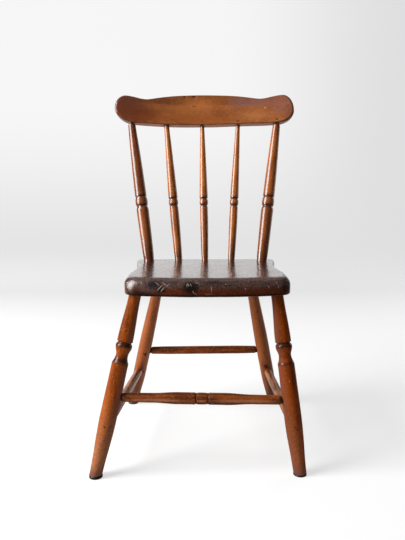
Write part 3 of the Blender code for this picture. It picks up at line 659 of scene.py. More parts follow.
@dataclass(frozen=True)
class Varnish:
    """A stained wood under old varnish: its colours, its pattern and its gloss."""

    name: str
    stain: Colour
    deep: Colour
    worn: Colour
    pale: Colour = (0.390, 0.160, 0.070)
    # Colour of the rings and edges in the gathered_and_shade attribute: collected varnish, and painted shade
    # at some.
    gathered_and_shade: Colour = (0.013, 0.004, 0.003)
    grain: Span = (1.0, 1.0, 0.06)
    drift: Span = (1.0, 1.0, 0.32)
    blotch_scale: float = 30.0
    blotch: Span = (0.36, 0.66, 0.85)
    fibre_scale: float = 620.0
    fibre: float = 0.42
    mottle_scale: float = 240.0
    mottle: float = 0.45
    roughness: Range = (0.17, 0.34)
    gloss: float = 0.5
    gathered_coat: float = 0.9
    coat_roughness: float = 0.12
    ragged_scale: float = 420.0
    ragged_push: float = 0.0022
    wear_height: Range = (0.0, 0.0)
    wear: float = 0.0
    # A darker tone towards the floor, up to a given height.
    low_tone: Colour = (0.085, 0.036, 0.022)
    low_tone_height: float = 0.0
    relief: float = 0.00012
    gathered_roughness: float = 0.14
    # Painted bounce light and sheen: a tint on the surfaces that face +X, or -X where side is -1.
    side: float = 1.0
    facing_light_tint: Colour = (0.175, 0.072, 0.048)
    facing_light_share: float = 0.0

    def dress(
        self, piece: str, shift: float, patches: Sequence[Mark] = (), marks: Sequence[Mark] = ()
    ) -> Material:
        """Make the finish of one piece.

        Args:
            piece: Name of the piece.
            shift: How far its pattern is moved.
            patches: Stained patches, with ragged edges.
            marks: Spots and nicks, with edges a little uneven.

        Returns:
            The material.
        """
        sheet = Sheet(f"{piece}_{self.name}")
        bench = sheet.attribute("bench", "Vector")
        blotch = sheet.cloud(sheet.shifted(bench, self.drift, shift), self.blotch_scale, 4.0, 0.5)
        fibre = sheet.cloud(sheet.shifted(bench, self.grain, shift), self.fibre_scale, 5.0)
        mottle = sheet.cloud(sheet.shifted(bench, EVEN, shift), self.mottle_scale, 2.0)
        # Where varnish collected and where shade is painted, broken a little by the blotches.
        dark = sheet.times(sheet.attribute("gathered_and_shade", "Fac"), sheet.graph(blotch, 0.2, 0.6, 1.0, 0.88))
        low, high, most = self.blotch
        layers = [
            (sheet.graph(blotch, low, high, 0.0, most), self.deep),
            (sheet.graph(fibre, 0.45, 0.75, 0.0, self.fibre), self.deep),
            (sheet.graph(mottle, 0.50, 0.72, 0.0, self.mottle), self.worn),
            *self.wear_tone_and_facing_light(sheet, blotch, mottle),
            (dark, self.gathered_and_shade),
            *sheet.marks(bench, patches, self.ragged_scale, self.ragged_push),
            *sheet.marks(bench, marks),
        ]
        rough = sheet.graph(mottle, *SPREAD, *self.roughness)
        smooth = sheet.graph(dark, 0.1, 0.8, 1.0, self.gathered_roughness / self.roughness[1])
        sheet.bump(sheet.weighted((fibre, 0.6), (mottle, 0.7)), self.relief)
        return sheet.shade({
            "Base Color": sheet.layered(self.stain, layers),
            "Roughness": sheet.times(rough, smooth),
            "Specular IOR Level": self.gloss,
            "Coat Weight": sheet.graph(dark, 0.2, 0.8, 0.0, self.gathered_coat),
            "Coat Roughness": self.coat_roughness,
        })

    def wear_tone_and_facing_light(self, sheet: Sheet, blotch: Feed, mottle: Feed) -> list[Layer]:
        """The layers of wear and tone: worn pale and darker low down, and painted bounce light and sheen on
        one side.

        Args:
            sheet: The material's sheet.
            blotch: The noise of the stain's blotches.
            mottle: The noise of its small mottling.

        Returns:
            The mask and the colour of each layer.
        """
        layers = []
        if self.wear > 0.0:
            low_down = sheet.graph(sheet.split("Object")[2], *self.wear_height, self.wear, 0.0)
            layers.append((sheet.broken(low_down, mottle, 0.5), self.pale))
        # Darker towards the floor.
        if self.low_tone_height > 0.0:
            near_floor = sheet.graph(sheet.split("Object")[2], 0.0, self.low_tone_height, 1.0, 0.0)
            layers.append((sheet.broken(near_floor, blotch, 0.6), self.low_tone))
        # Painted bounce light and sheen on the surfaces that face one side, read from the normal's X.
        if self.facing_light_share > 0.0:
            across = sheet.times(sheet.split("Normal")[0], self.side)
            turned = sheet.graph(across, 0.0, 0.85, 0.0, self.facing_light_share)
            layers.append((sheet.broken(turned, mottle, 0.75), self.facing_light_tint))
        return layers


@dataclass(frozen=True)
class Blemish:
    """A mark placed by a pixel of the photograph: its half sizes in metres and its colour."""

    pixel: Pixel
    half: Span
    colour: Colour
    strength: float = 0.85
    core: float = 0.4

    def on(self, piece: Workpiece) -> Mark:
        """The mark on a placed piece."""
        return Mark(piece.at_pixel(self.pixel)[1], self.half, self.colour, self.strength, self.core)


@dataclass(frozen=True)
class Scratch:
    """A scratch between two pixels of the photograph."""

    first: Pixel
    last: Pixel
    width: float = 0.0011
    strength: float = 0.7
    colour: Colour = (0.62, 0.55, 0.51)
    core: float = 0.2
    half_share: float = 0.64
    depth: float = 0.006

    def on(self, piece: Workpiece) -> Mark:
        """The scratch on a placed piece, as a long thin mark."""
        _, start, normal = piece.at_pixel(self.first)
        end = piece.at_pixel(self.last)[1]
        along = (end - start).normalized()
        out = (normal - along * normal.dot(along)).normalized()
        turn = Matrix((along, out.cross(along), out)).transposed().to_euler()
        half = ((end - start).length * self.half_share, self.width / 2.0, self.depth)
        return Mark((start + end) / 2.0, half, self.colour, self.strength, self.core, tuple(turn))


DARK_SPOT: Colour = (0.025, 0.010, 0.006)
PALE_CHIP: Colour = (0.55, 0.36, 0.24)


@dataclass(frozen=True)
class LegPattern:
    """Sizes that all legs share, from the seat down: diameters end in _d, the rest are lengths."""

    end_d: float = 0.0264
    tenon: float = 0.027
    straight: float = 0.005
    runout: float = 0.020
    ankle: float = 0.108
    head_ring: Range = (0.010, 0.5)

    def turning(self, length: float, extra: float, foot: float) -> Turning:
        """The outline of a leg.

        Args:
            length: Distance from the seat's underside to the floor along the leg.
            extra: How much thicker this leg's turnings are than the pattern.
            foot: Diameter at the foot.

        Returns:
            The outline, from the top of the tenon to below the floor.
        """
        turning = Turning().to(-self.tenon, self.end_d / 2.0).to(self.straight, self.end_d / 2.0)
        ankle = max(length, self.swell(turning, extra) + self.ankle)
        turning.to(ankle, foot / 2.0, Run.SWING).to(ankle + self.runout, foot / 2.0)
        return turning.ring(0.0, *self.head_ring)

    def swell(self, turning: Turning, extra: float) -> float:
        """Carry the outline on over the leg's own turnings, and say where they end."""
        raise NotImplementedError


@dataclass(frozen=True)
class FrontLegPattern(LegPattern):
    """A front leg: a long taper, a groove, an urn, a cove, and a body below its shoulder."""

    taper: float = 0.105
    swell_d: float = 0.0342
    groove: float = 0.0036
    groove_d: float = 0.0296
    urn_rise: float = 0.0066
    urn_d: float = 0.0358
    urn_fall: float = 0.0190
    neck_d: float = 0.0264
    cove: float = 0.0175
    shoulder_d: float = 0.0357
    body_d: float = 0.0370
    body: float = 0.118
    ankle: float = 0.130
    head_ring: Range = (0.008, 0.5)
    groove_ring: Range = (0.0045, 0.95)
    urn_rings: Sequence[Span] = ((-0.0045, 0.0085, 1.0), (-0.0015, 0.0052, 1.0))
    neck_ring: Span = (0.001, 0.0060, 0.35)
    cove_ring: Span = (-0.0065, 0.0125, 0.97)

    def swell(self, turning: Turning, extra: float) -> float:
        """Turn the taper, the groove, the urn, the cove and the body, and say where they end."""
        turning.to(self.taper, (self.swell_d + extra) / 2.0, Run.SWING)
        groove = (self.groove_d + extra) / 2.0
        turning.to(self.taper + self.groove / 3.0, groove).to(self.taper + self.groove, groove)
        urn = self.taper + self.groove + self.urn_rise
        turning.to(urn, (self.urn_d + extra) / 2.0, Run.ROUND)
        neck = urn + self.urn_fall
        turning.to(neck, (self.neck_d + extra) / 2.0, Run.SWING)
        shoulder = neck + self.cove
        turning.to(shoulder, (self.shoulder_d + extra) / 2.0, Run.POWER, 2.0)
        turning.to(shoulder + self.body, (self.body_d + extra) / 2.0, Run.SWING)
        turning.ring(self.taper + self.groove * 0.6, *self.groove_ring)
        rings = [(urn, ring) for ring in self.urn_rings]
        for start, (shift, reach, strength) in [*rings, (neck, self.neck_ring), (shoulder, self.cove_ring)]:
            turning.ring(start + shift, reach, strength)
        return shoulder + self.body


@dataclass(frozen=True)
class RearLegPattern(LegPattern):
    """A rear leg: one long swelling between two straight ends."""

    taper: float = 0.215
    body_d: float = 0.0345
    body: float = 0.085

    def swell(self, turning: Turning, extra: float) -> float:
        """Turn the swelling, and say where it ends."""
        body = (self.body_d + extra) / 2.0
        turning.to(self.taper, body, Run.SWING).to(self.taper + self.body, body)
        return self.taper + self.body


FRONT_LEG = FrontLegPattern()
REAR_LEG = RearLegPattern()


@dataclass
class Leg:
    """A splayed leg with its glide: the places of its head and foot in the chair's frame, and its finish."""

    corner: str
    head: Range
    foot: Range
    foot_d: float
    glide: "Glide"
    varnish: Varnish
    pattern: LegPattern
    extra_d: float = 0.0
    blemishes: Sequence[Blemish] = ()
    swelling: Range = (0.00022, 0.028)
    pattern_step: float = 3.1

    def __post_init__(self) -> None:
        """Work out the axis and the outline."""
        self.top = Vector((*self.head, SEAT_UNDERSIDE))
        self.floor = Vector((*self.foot, 0.0))
        self.down = (self.floor - self.top).normalized()
        self.turning = self.pattern.turning((self.floor - self.top).length, self.extra_d, self.foot_d)

    def at_height(self, height: float) -> Vector:
        """The point of the leg's axis at a height above the floor, in the chair's frame."""
        return self.floor.lerp(self.top, height / self.top.z)

    def radius_at_height(self, height: float) -> float:
        """The leg's radius at a height above the floor."""
        return self.turning.radius_at((self.at_height(height) - self.top).length)

    def build(self, number: int) -> None:
        """Turn the leg, cut its foot level and set its glide under it.

        Args:
            number: The leg's number, which moves its pattern.
        """
        name = f"turned_leg_{self.corner}"
        wood = Workpiece.turned(name, self.turning, self.swelling, self.top, self.down)
        wood.cut((0.0, 0.0, self.glide.height + FIT_GAP), (0.0, 0.0, -1.0), TOUCHING, clear=True)
        wood.close_ends()
        marks = [blemish.on(wood) for blemish in self.blemishes]
        slot = f"{self.corner.split('_')[0]}_leg_varnish"
        material = self.varnish.dress(self.corner, number * self.pattern_step, marks)
        wood.finish(f"leg_{self.corner}", slot, material)
        self.glide.build(self.corner, self.at_height(self.glide.height))


@dataclass
class Glide:
    """A dark button under a foot, domed at its rim and hollow in its middle for the nail."""

    height: float
    diameter: float = 0.0290
    edge: float = 0.0015
    recess_d: float = 0.0080
    recess: float = 0.0022
    middle: float = 0.0004
    lip: float = 0.0004
    flare: float = 0.0012
    draft: float = 0.0002
    sole_inset: float = 1.3
    swelling: Range = (0.00012, 0.006)

    def build(self, corner: str, centre: Vector) -> None:
        """Turn the glide and stand it on the floor.

        Args:
            corner: The leg that it belongs to.
            centre: The point of the leg's axis at the glide's height.
        """
        rim = self.diameter / 2.0
        inner = self.recess_d / 2.0
        turning = Turning().to(self.recess, self.middle).to(self.recess, inner)
        turning.to(self.lip, inner + self.draft).to(0.0, inner + self.flare)
        turning.to(0.0, rim - self.edge * self.sole_inset).to(self.edge, rim, Run.ROUND)
        turning.to(self.height - self.edge, rim - self.draft)
        turning.to(self.height, rim - self.edge, Run.SWING).to(self.height, self.middle)
        rubber = Workpiece(f"glide_button_{corner}")
        rubber.turn(turning)
        bmesh.ops.remove_doubles(rubber.mesh, verts=rubber.mesh.verts, dist=MERGED)
        rubber.roughen(*self.swelling)
        rubber.keep_bench_coordinates()
        rubber.place(Vector((centre.x, centre.y, 0.0)), Vector((0.0, 0.0, 1.0)))
        low = min(vert.co.z for vert in rubber.mesh.verts)
        bmesh.ops.translate(rubber.mesh, verts=rubber.mesh.verts, vec=(0.0, 0.0, -low))
        rubber.finish(f"glide_{corner}", "glide_black", Rubber().dress(corner))


@dataclass(frozen=True)
class Rubber:
    """Old black rubber, polished where it rubs and dusty elsewhere."""

    black: Colour = (0.010, 0.009, 0.009)
    dust: Colour = (0.060, 0.052, 0.046)

    def dress(self, piece: str) -> Material:
        """Make the finish of one glide."""
        sheet = Sheet(f"{piece}_rubber")
        bench = sheet.attribute("bench", "Vector")
        dust = sheet.cloud(bench, 300.0, 4.0)
        colour = sheet.over(sheet.graph(dust, 0.5, 0.75, 0.0, 0.6), self.black, self.dust)
        sheet.bump(sheet.cloud(bench, 900.0), 0.0001)
        return sheet.shade({"Base Color": colour, "Roughness": sheet.graph(dust, 0.35, 0.7, 0.22, 0.55)})


@dataclass(frozen=True)
class Iron:
    """The iron of old brads and nails, blackened, with rust in its pits."""

    name: str = "old_iron"
    black: Colour = (0.030, 0.024, 0.021)
    rust: Colour = (0.130, 0.048, 0.020)
    metal: float = 0.7

    def dress(self) -> Material:
        """Make the finish that several brads or nails share."""
        sheet = Sheet(self.name)
        place = sheet.lay("TexCoord", {}).outputs["Object"]
        pits = sheet.cloud(place, 900.0, 5.0)
        colour = sheet.over(sheet.graph(pits, 0.48, 0.66), self.black, self.rust)
        sheet.bump(pits, 0.0002)
        rough = sheet.graph(pits, 0.35, 0.7, 0.42, 0.8)
        return sheet.shade({"Base Color": colour, "Roughness": rough, "Metallic": self.metal})


@dataclass(frozen=True)
class StretcherPattern:
    """Sizes of a stretcher's turning. The swelling, bead and grooves are only on the front one."""

    tenon_d: float = 0.0160
    past_axis: float = 0.004
    neck: float = 0.0018
    nib: float = 0.0042
    nib_d: float = 0.0200
    full_d: float = 0.0216
    rise: float = 0.050
    arm_d: float = 0.0208
    swell_d: float = 0.0256
    swell: float = 0.036
    swell_rise: float = 0.055
    bead: float = 0.0245
    bead_d: float = 0.0254
    groove: float = 0.003
    groove_d: float = 0.0232
    leg_ring: Range = (0.0075, 0.95)
    groove_ring: Range = (0.0026, 1.0)

    def end(self, leg_radius: float) -> Turning:
        """A stretcher's end: a tenon that passes the leg's axis, a short neck and a bevelled nib."""
        neck = leg_radius + self.neck
        turning = Turning().to(-self.past_axis, self.tenon_d / 2.0).to(neck, self.tenon_d / 2.0)
        turning.to(neck + self.nib, self.nib_d / 2.0)
        return turning.ring(leg_radius, *self.leg_ring)

    def plain(self, length: float, radii: Range) -> Turning:
        """A round bar that thins to its two ends."""

        def half(leg_radius: float) -> Turning:
            """One end and its rise to the full thickness."""
            turning = self.end(leg_radius)
            start = turning.end()[0]
            return turning.to(start + self.rise, self.full_d / 2.0, Run.SWING)

        return self.joined(half(radii[0]), half(radii[1]).mirrored(length))

    def beaded(self, length: float, radii: Range) -> Turning:
        """A bar with a swelling either side of a bead in its middle."""
        edge = (length - self.bead) / 2.0 - self.groove
        swell_start = edge - self.swell

        def half(leg_radius: float) -> Turning:
            """One end, up to the bead."""
            turning = self.end(leg_radius).to(swell_start - self.swell_rise, self.arm_d / 2.0)
            turning.to(swell_start, self.swell_d / 2.0, Run.SWING).to(edge, self.swell_d / 2.0)
            turning.to(edge + self.groove / 2.0, self.groove_d / 2.0)
            turning.to(edge + self.groove, self.groove_d / 2.0)
            return turning.ring(edge + self.groove * 0.6, *self.groove_ring)

        near = half(radii[0]).bead(self.bead, self.bead_d / 2.0)
        near.stations.pop()
        return self.joined(near, half(radii[1]).mirrored(length))

    @staticmethod
    def joined(near: Turning, far: Turning) -> Turning:
        """Two halves as one outline, with stations close enough for the surface's swellings."""
        whole = Turning(list(near.stations), near.rings + far.rings)
        whole.to(*far.stations[0])
        whole.stations += far.stations[1:]
        return whole


STRETCHER = StretcherPattern()


@dataclass
class Stretcher:
    """A bar between two legs, with the heights at which it meets them."""

    side: str
    legs: tuple[Leg, Leg]
    heights: Range
    varnish: Varnish
    painted_light_and_streaks: Sequence[Scratch] = ()
    swelling: Range = (0.00020, 0.024)
    pattern_shift: Range = (20.0, 2.3)

    def build(self, number: int) -> None:
        """Turn the stretcher and fit it between its legs.

        Args:
            number: The stretcher's number, which moves its pattern.
        """
        points = [leg.at_height(height) for leg, height in zip(self.legs, self.heights)]
        radii = tuple(leg.radius_at_height(height) for leg, height in zip(self.legs, self.heights))
        span = points[1] - points[0]
        shape = STRETCHER.beaded if self.side == "front" else STRETCHER.plain
        name = f"stretcher_{self.side}"
        turning = shape(span.length, radii)
        wood = Workpiece.turned(f"turned_{name}", turning, self.swelling, points[0], span.normalized())
        painted_light_and_streaks = [streak.on(wood) for streak in self.painted_light_and_streaks]
        shift = self.pattern_shift[0] + number * self.pattern_shift[1]
        wood.finish(name, "stretcher_varnish", self.varnish.dress(name, shift, painted_light_and_streaks))


LEG_STAIN = Varnish(
    "leg_varnish",
    stain=(0.280, 0.056, 0.003),
    deep=(0.100, 0.016, 0.001),
    worn=(0.420, 0.110, 0.010),
    drift=(1.0, 1.0, 0.16),
    blotch_scale=58.0,
    blotch=(0.40, 0.64, 0.75),
    gathered_and_shade=(0.034, 0.011, 0.006),
    gathered_coat=0.45,
    gathered_roughness=0.26,
    coat_roughness=0.24,
    mottle=0.55,
    roughness=(0.42, 0.56),
    gloss=0.06,
    wear_height=(0.02, 0.20),
    wear=0.75,
    low_tone=(0.130, 0.052, 0.036),
    low_tone_height=0.040,
    facing_light_share=0.62,
)
RED_LEG_STAIN = replace(
    LEG_STAIN,
    stain=(0.215, 0.037, 0.002),
    deep=(0.085, 0.011, 0.001),
    worn=(0.310, 0.072, 0.007),
    pale=(0.290, 0.100, 0.040),
    wear=0.60,
    side=-1.0,
    facing_light_tint=(0.150, 0.048, 0.024),
    facing_light_share=0.65,
)
REAR_LEG_STAIN = replace(
    LEG_STAIN,
    stain=(0.310, 0.080, 0.017),
    deep=(0.160, 0.034, 0.006),
    worn=(0.420, 0.140, 0.038),
    gloss=0.22,
    wear=0.0,
    low_tone=(0.075, 0.024, 0.013),
    low_tone_height=0.16,
    facing_light_tint=(0.350, 0.122, 0.054),
    facing_light_share=0.68,
)
STRETCHER_STAIN = replace(
    LEG_STAIN,
    stain=(0.230, 0.054, 0.009),
    deep=(0.075, 0.015, 0.003),
    worn=(0.340, 0.110, 0.028),
    blotch_scale=80.0,
    blotch=(0.42, 0.60, 0.85),
    gloss=0.15,
    gathered_coat=0.0,
    wear=0.0,
    low_tone_height=0.0,
    facing_light_share=0.0,
)
SIDE_BAR_STAIN = replace(
    STRETCHER_STAIN,
    stain=(0.290, 0.080, 0.012),
    worn=(0.400, 0.135, 0.030),
    roughness=(0.20, 0.28),
    gloss=0.18,
    relief=0.00005,
)
RIGHT_BAR_STAIN = replace(
    SIDE_BAR_STAIN,
    stain=(0.330, 0.100, 0.020),
    worn=(0.420, 0.150, 0.036),
    roughness=(0.26, 0.36),
    gloss=0.15,
)
POST_STAIN = Varnish(
    "post_varnish",
    stain=(0.270, 0.076, 0.018),
    deep=(0.110, 0.023, 0.006),
    worn=(0.380, 0.135, 0.045),
    drift=(1.0, 1.0, 0.2),
    blotch_scale=48.0,
    mottle=0.34,
    gathered_and_shade=(0.042, 0.013, 0.008),
    gathered_coat=0.4,
    roughness=(0.27, 0.31),
    gloss=0.75,
    relief=0.00002,
)
RIGHT_POST_STAIN = replace(
    POST_STAIN, stain=(0.345, 0.096, 0.018), deep=(0.145, 0.030, 0.006), worn=(0.460, 0.160, 0.046)
)
SPINDLE_STAIN = replace(
    POST_STAIN, stain=(0.460, 0.140, 0.024), deep=(0.185, 0.044, 0.007), worn=(0.560, 0.210, 0.055)
)


@dataclass
class Undercarriage:
    """The four legs with their glides, and the four stretchers between them."""

    front_stretcher_z: Range = (0.1664, 0.1572)
    rear_stretcher_z: Range = (0.168, 0.1705)
    left_stretcher_z: Range = (0.107, 0.111)
    right_stretcher_z: Range = (0.104, 0.108)
    # Front stretcher: painted shadow of the seat along its top (dark strokes), painted bounce light along
    # its lower edge (pale strokes), then a dark and a red line of its own.
    painted_light_and_streaks: Sequence[Scratch] = (
        Scratch((122.0, 394.6), (182.0, 393.6), 0.0052, 0.50, DARK_SPOT),
        Scratch((196.5, 394.2), (206.5, 394.2), 0.0050, 0.60, DARK_SPOT),
        Scratch((209.5, 394.2), (278.0, 396.2), 0.0052, 0.50, DARK_SPOT),
        Scratch((122.0, 399.6), (190.0, 401.0), 0.0100, 0.60, (0.460, 0.180, 0.090)),
        Scratch((196.5, 401.2), (206.5, 401.2), 0.0080, 0.50, (0.460, 0.180, 0.090)),
        Scratch((209.5, 401.2), (278.0, 401.6), 0.0100, 0.60, (0.460, 0.180, 0.090)),
        Scratch((150.0, 397.6), (183.0, 397.4), 0.0018, 0.45, DARK_SPOT),
        Scratch((214.0, 396.9), (262.0, 397.4), 0.0022, 0.60, (0.360, 0.085, 0.012)),
    )

    def legs(self) -> tuple[Leg, ...]:
        """The four legs, each with the marks that the photograph shows on it."""
        dot = (0.0016, 0.0016, 0.0020)
        return (
            Leg(
                "front_left",
                head=(-0.1540, -0.1340),
                foot=(-0.2380, -0.2050),
                foot_d=0.0268,
                glide=Glide(0.0065),
                varnish=LEG_STAIN,
                pattern=FRONT_LEG,
                blemishes=(
                    Blemish((114.6, 383.1), dot, DARK_SPOT),
                    Blemish((103.9, 426.5), dot, DARK_SPOT),
                    Blemish((110.0, 428.0), (0.0022, 0.0022, 0.0055), DARK_SPOT, 0.45, 0.1),
                    Blemish((111.5, 392.0), (0.0010, 0.0010, 0.0016), DARK_SPOT, 0.5),
                ),
            ),
            Leg(
                "front_right",
                head=(0.1534, -0.1340),
                foot=(0.2013, -0.1980),
                foot_d=0.0276,
                glide=Glide(0.0045),
                varnish=RED_LEG_STAIN,
                pattern=replace(FRONT_LEG, cove_ring=(-0.0008, 0.0050, 0.8)),
                extra_d=0.0003,
                blemishes=(
                    Blemish((289.4, 381.5), (0.0009, 0.0009, 0.0030), PALE_CHIP, 0.7),
                    Blemish((297.2, 405.8), (0.0020, 0.0020, 0.0028), DARK_SPOT, 0.8),
                    Blemish((296.3, 411.5), (0.0016, 0.0016, 0.0020), DARK_SPOT, 0.6),
                    Blemish((297.5, 430.0), (0.0026, 0.0026, 0.0036), DARK_SPOT, 0.75),
                    Blemish((281.0, 312.0), (0.0010, 0.0010, 0.0020), PALE_CHIP, 0.4),
                ),
            ),
            Leg(
                "rear_left",
                head=(-0.1172, 0.1200),
                foot=(-0.2065, 0.2180),
                foot_d=0.0255,
                glide=Glide(0.0050),
                varnish=REAR_LEG_STAIN,
                pattern=REAR_LEG,
                blemishes=(
                    Blemish((145.4, 354.5), (0.0046, 0.0046, 0.0070), DARK_SPOT, 0.95, 0.4),
                    Blemish((143.6, 371.5), (0.0042, 0.0042, 0.0052), DARK_SPOT, 0.95, 0.4),
                ),
            ),
            Leg(
                "rear_right",
                head=(0.1172, 0.1200),
                foot=(0.1984, 0.2180),
                foot_d=0.0262,
                glide=Glide(0.0050),
                varnish=REAR_LEG_STAIN,
                pattern=REAR_LEG,
                extra_d=0.0013,
                blemishes=(
                    Blemish((257.3, 311.7), (0.0026, 0.0026, 0.0040), DARK_SPOT, 0.7),
                    Blemish((259.2, 320.6), (0.0030, 0.0030, 0.0042), DARK_SPOT, 0.7),
                    Blemish((261.8, 365.0), (0.0035, 0.0035, 0.0075), DARK_SPOT, 0.5, 0.1),
                    # Painted shadow where the right stretcher enters the leg.
                    Blemish((265.6, 366.4), (0.0085, 0.0085, 0.0085), (0.050, 0.008, 0.002), 0.95, 0.4),
                ),
            ),
        )

    def build(self) -> None:
        """Build the legs, the glides and the stretchers."""
        front_left, front_right, rear_left, rear_right = legs = self.legs()
        for number, leg in enumerate(legs):
            leg.build(number)
        front, rear = (front_left, front_right), (rear_left, rear_right)
        left, right = (front_left, rear_left), (front_right, rear_right)
        bars = (
            Stretcher("front", front, self.front_stretcher_z, STRETCHER_STAIN, self.painted_light_and_streaks),
            Stretcher("rear", rear, self.rear_stretcher_z, STRETCHER_STAIN),
            Stretcher("left", left, self.left_stretcher_z, SIDE_BAR_STAIN),
            Stretcher("right", right, self.right_stretcher_z, RIGHT_BAR_STAIN),
        )
        for number, bar in enumerate(bars):
            bar.build(number)


@dataclass(frozen=True)
class PostPattern:
    """Sizes of a back post's turning, from the seat up."""

    foot_d: float = 0.0270
    tenon: float = 0.024
    straight: float = 0.005
    belly_d: float = 0.0326
    belly: float = 0.138
    shoulder: float = 0.010
    groove_d: float = 0.0278
    groove: float = 0.003
    bead_d: float = 0.0327
    bead: float = 0.024
    arm_d: float = 0.0308
    neck_d: float = 0.0200
    top_tenon_d: float = 0.0150
    neck: float = 0.0025
    taper_power: float = 1.6
    belly_power: float = 0.55
    top_tenon: float = 0.022
    # Darker towards the seat.
    foot_ring: Range = (0.085, 0.60)
    low_ring: Range = (0.0100, 1.0)
    high_ring: Range = (0.0095, 1.0)
    # Dark ring where the post meets the crest rail: a dark joint, with painted shade from the rail above.
    top_shade_ring: Range = (0.014, 0.85)

    def turning(self, length: float, lean: float, extra: float) -> Turning:
        """The outline of a post.

        Args:
            length: Distance from the seat's top to the crest rail's lower edge.
            lean: Angle between the post and the crest rail's plane.
            extra: How much thicker the post is than the pattern.

        Returns:
            The outline, from its socket in the seat to its tenon in the crest rail.
        """
        groove = (self.groove_d + extra) / 2.0
        turning = Turning().to(-self.tenon, self.foot_d / 2.0).to(self.straight, self.foot_d / 2.0)
        turning.to(self.belly, (self.belly_d + extra) / 2.0, Run.POWER, self.belly_power)
        low = self.belly + self.shoulder
        turning.to(low, groove, Run.POWER, 2.0).to(low + self.groove / 2.0, groove)
        turning.bead(self.bead, (self.bead_d + extra) / 2.0)
        high = turning.end()[0] + self.groove / 2.0
        turning.to(high, groove).to(high + self.groove / 2.0, (self.arm_d + extra) / 2.0)
        neck = self.neck_d / 2.0
        under_crest = length - FIT_GAP - neck * math.tan(lean)
        turning.to(under_crest - self.neck, neck, Run.POWER, self.taper_power)
        turning.to(under_crest, self.top_tenon_d / 2.0).to(length + self.top_tenon, self.top_tenon_d / 2.0)
        turning.ring(low + self.groove / 3.0, *self.low_ring).ring(high, *self.high_ring)
        return turning.ring(0.0, *self.foot_ring).ring(length, *self.top_shade_ring)


@dataclass(frozen=True)
class SpindlePattern:
    """Sizes of a spindle's turning, from the seat up."""

    foot_d: float = 0.0176
    tenon: float = 0.020
    straight: float = 0.005
    belly_d: float = 0.0222
    belly: float = 0.113
    shoulder_d: float = 0.0212
    shoulder: float = 0.0335
    groove_d: float = 0.0174
    groove: float = 0.003
    bead_d: float = 0.0236
    bead: float = 0.0185
    arm_d: float = 0.0230
    top_d: float = 0.0118
    taper_power: float = 1.1
    belly_power: float = 0.6
    top_tenon: float = 0.022
    # Darker towards the seat.
    foot_ring: Range = (0.060, 0.55)
    low_ring: Range = (0.0088, 1.0)
    high_ring: Range = (0.0080, 1.0)
    # Dark ring where the spindle meets the crest rail: a dark joint, with painted shade from the rail above.
    top_shade_ring: Range = (0.014, 0.95)

    def turning(self, length: float, lean: float, extra: float) -> Turning:
        """The outline of a spindle.

        Args:
            length: Distance from the seat's top to the crest rail's lower edge.
            lean: Angle between the spindle and the crest rail's plane. A spindle's tenon starts without a
                shoulder, so the angle doesn't shape it.
            extra: How much thicker the spindle is than the pattern.

        Returns:
            The outline, from its socket in the seat to its tenon in the crest rail.
        """
        foot = (self.foot_d + extra) / 2.0
        turning = Turning().to(-self.tenon, foot).to(self.straight, foot)
        turning.to(self.belly, (self.belly_d + extra) / 2.0, Run.POWER, self.belly_power)
        low = self.belly + self.shoulder
        turning.to(low, (self.shoulder_d + extra) / 2.0)
        turning.to(low + self.groove, (self.groove_d + extra) / 2.0)
        turning.bead(self.bead, (self.bead_d + extra) / 2.0)
        high = turning.end()[0]
        turning.to(high + self.groove, (self.arm_d + extra) / 2.0, Run.SWING)
        turning.to(length - self.straight, (self.top_d + extra) / 2.0, Run.POWER, self.taper_power)
        turning.to(length + self.top_tenon, (self.top_d + extra) / 2.0)
        turning.ring(low + self.groove, *self.low_ring).ring(high + self.groove * 0.3, *self.high_ring)
        return turning.ring(0.0, *self.foot_ring).ring(length, *self.top_shade_ring)


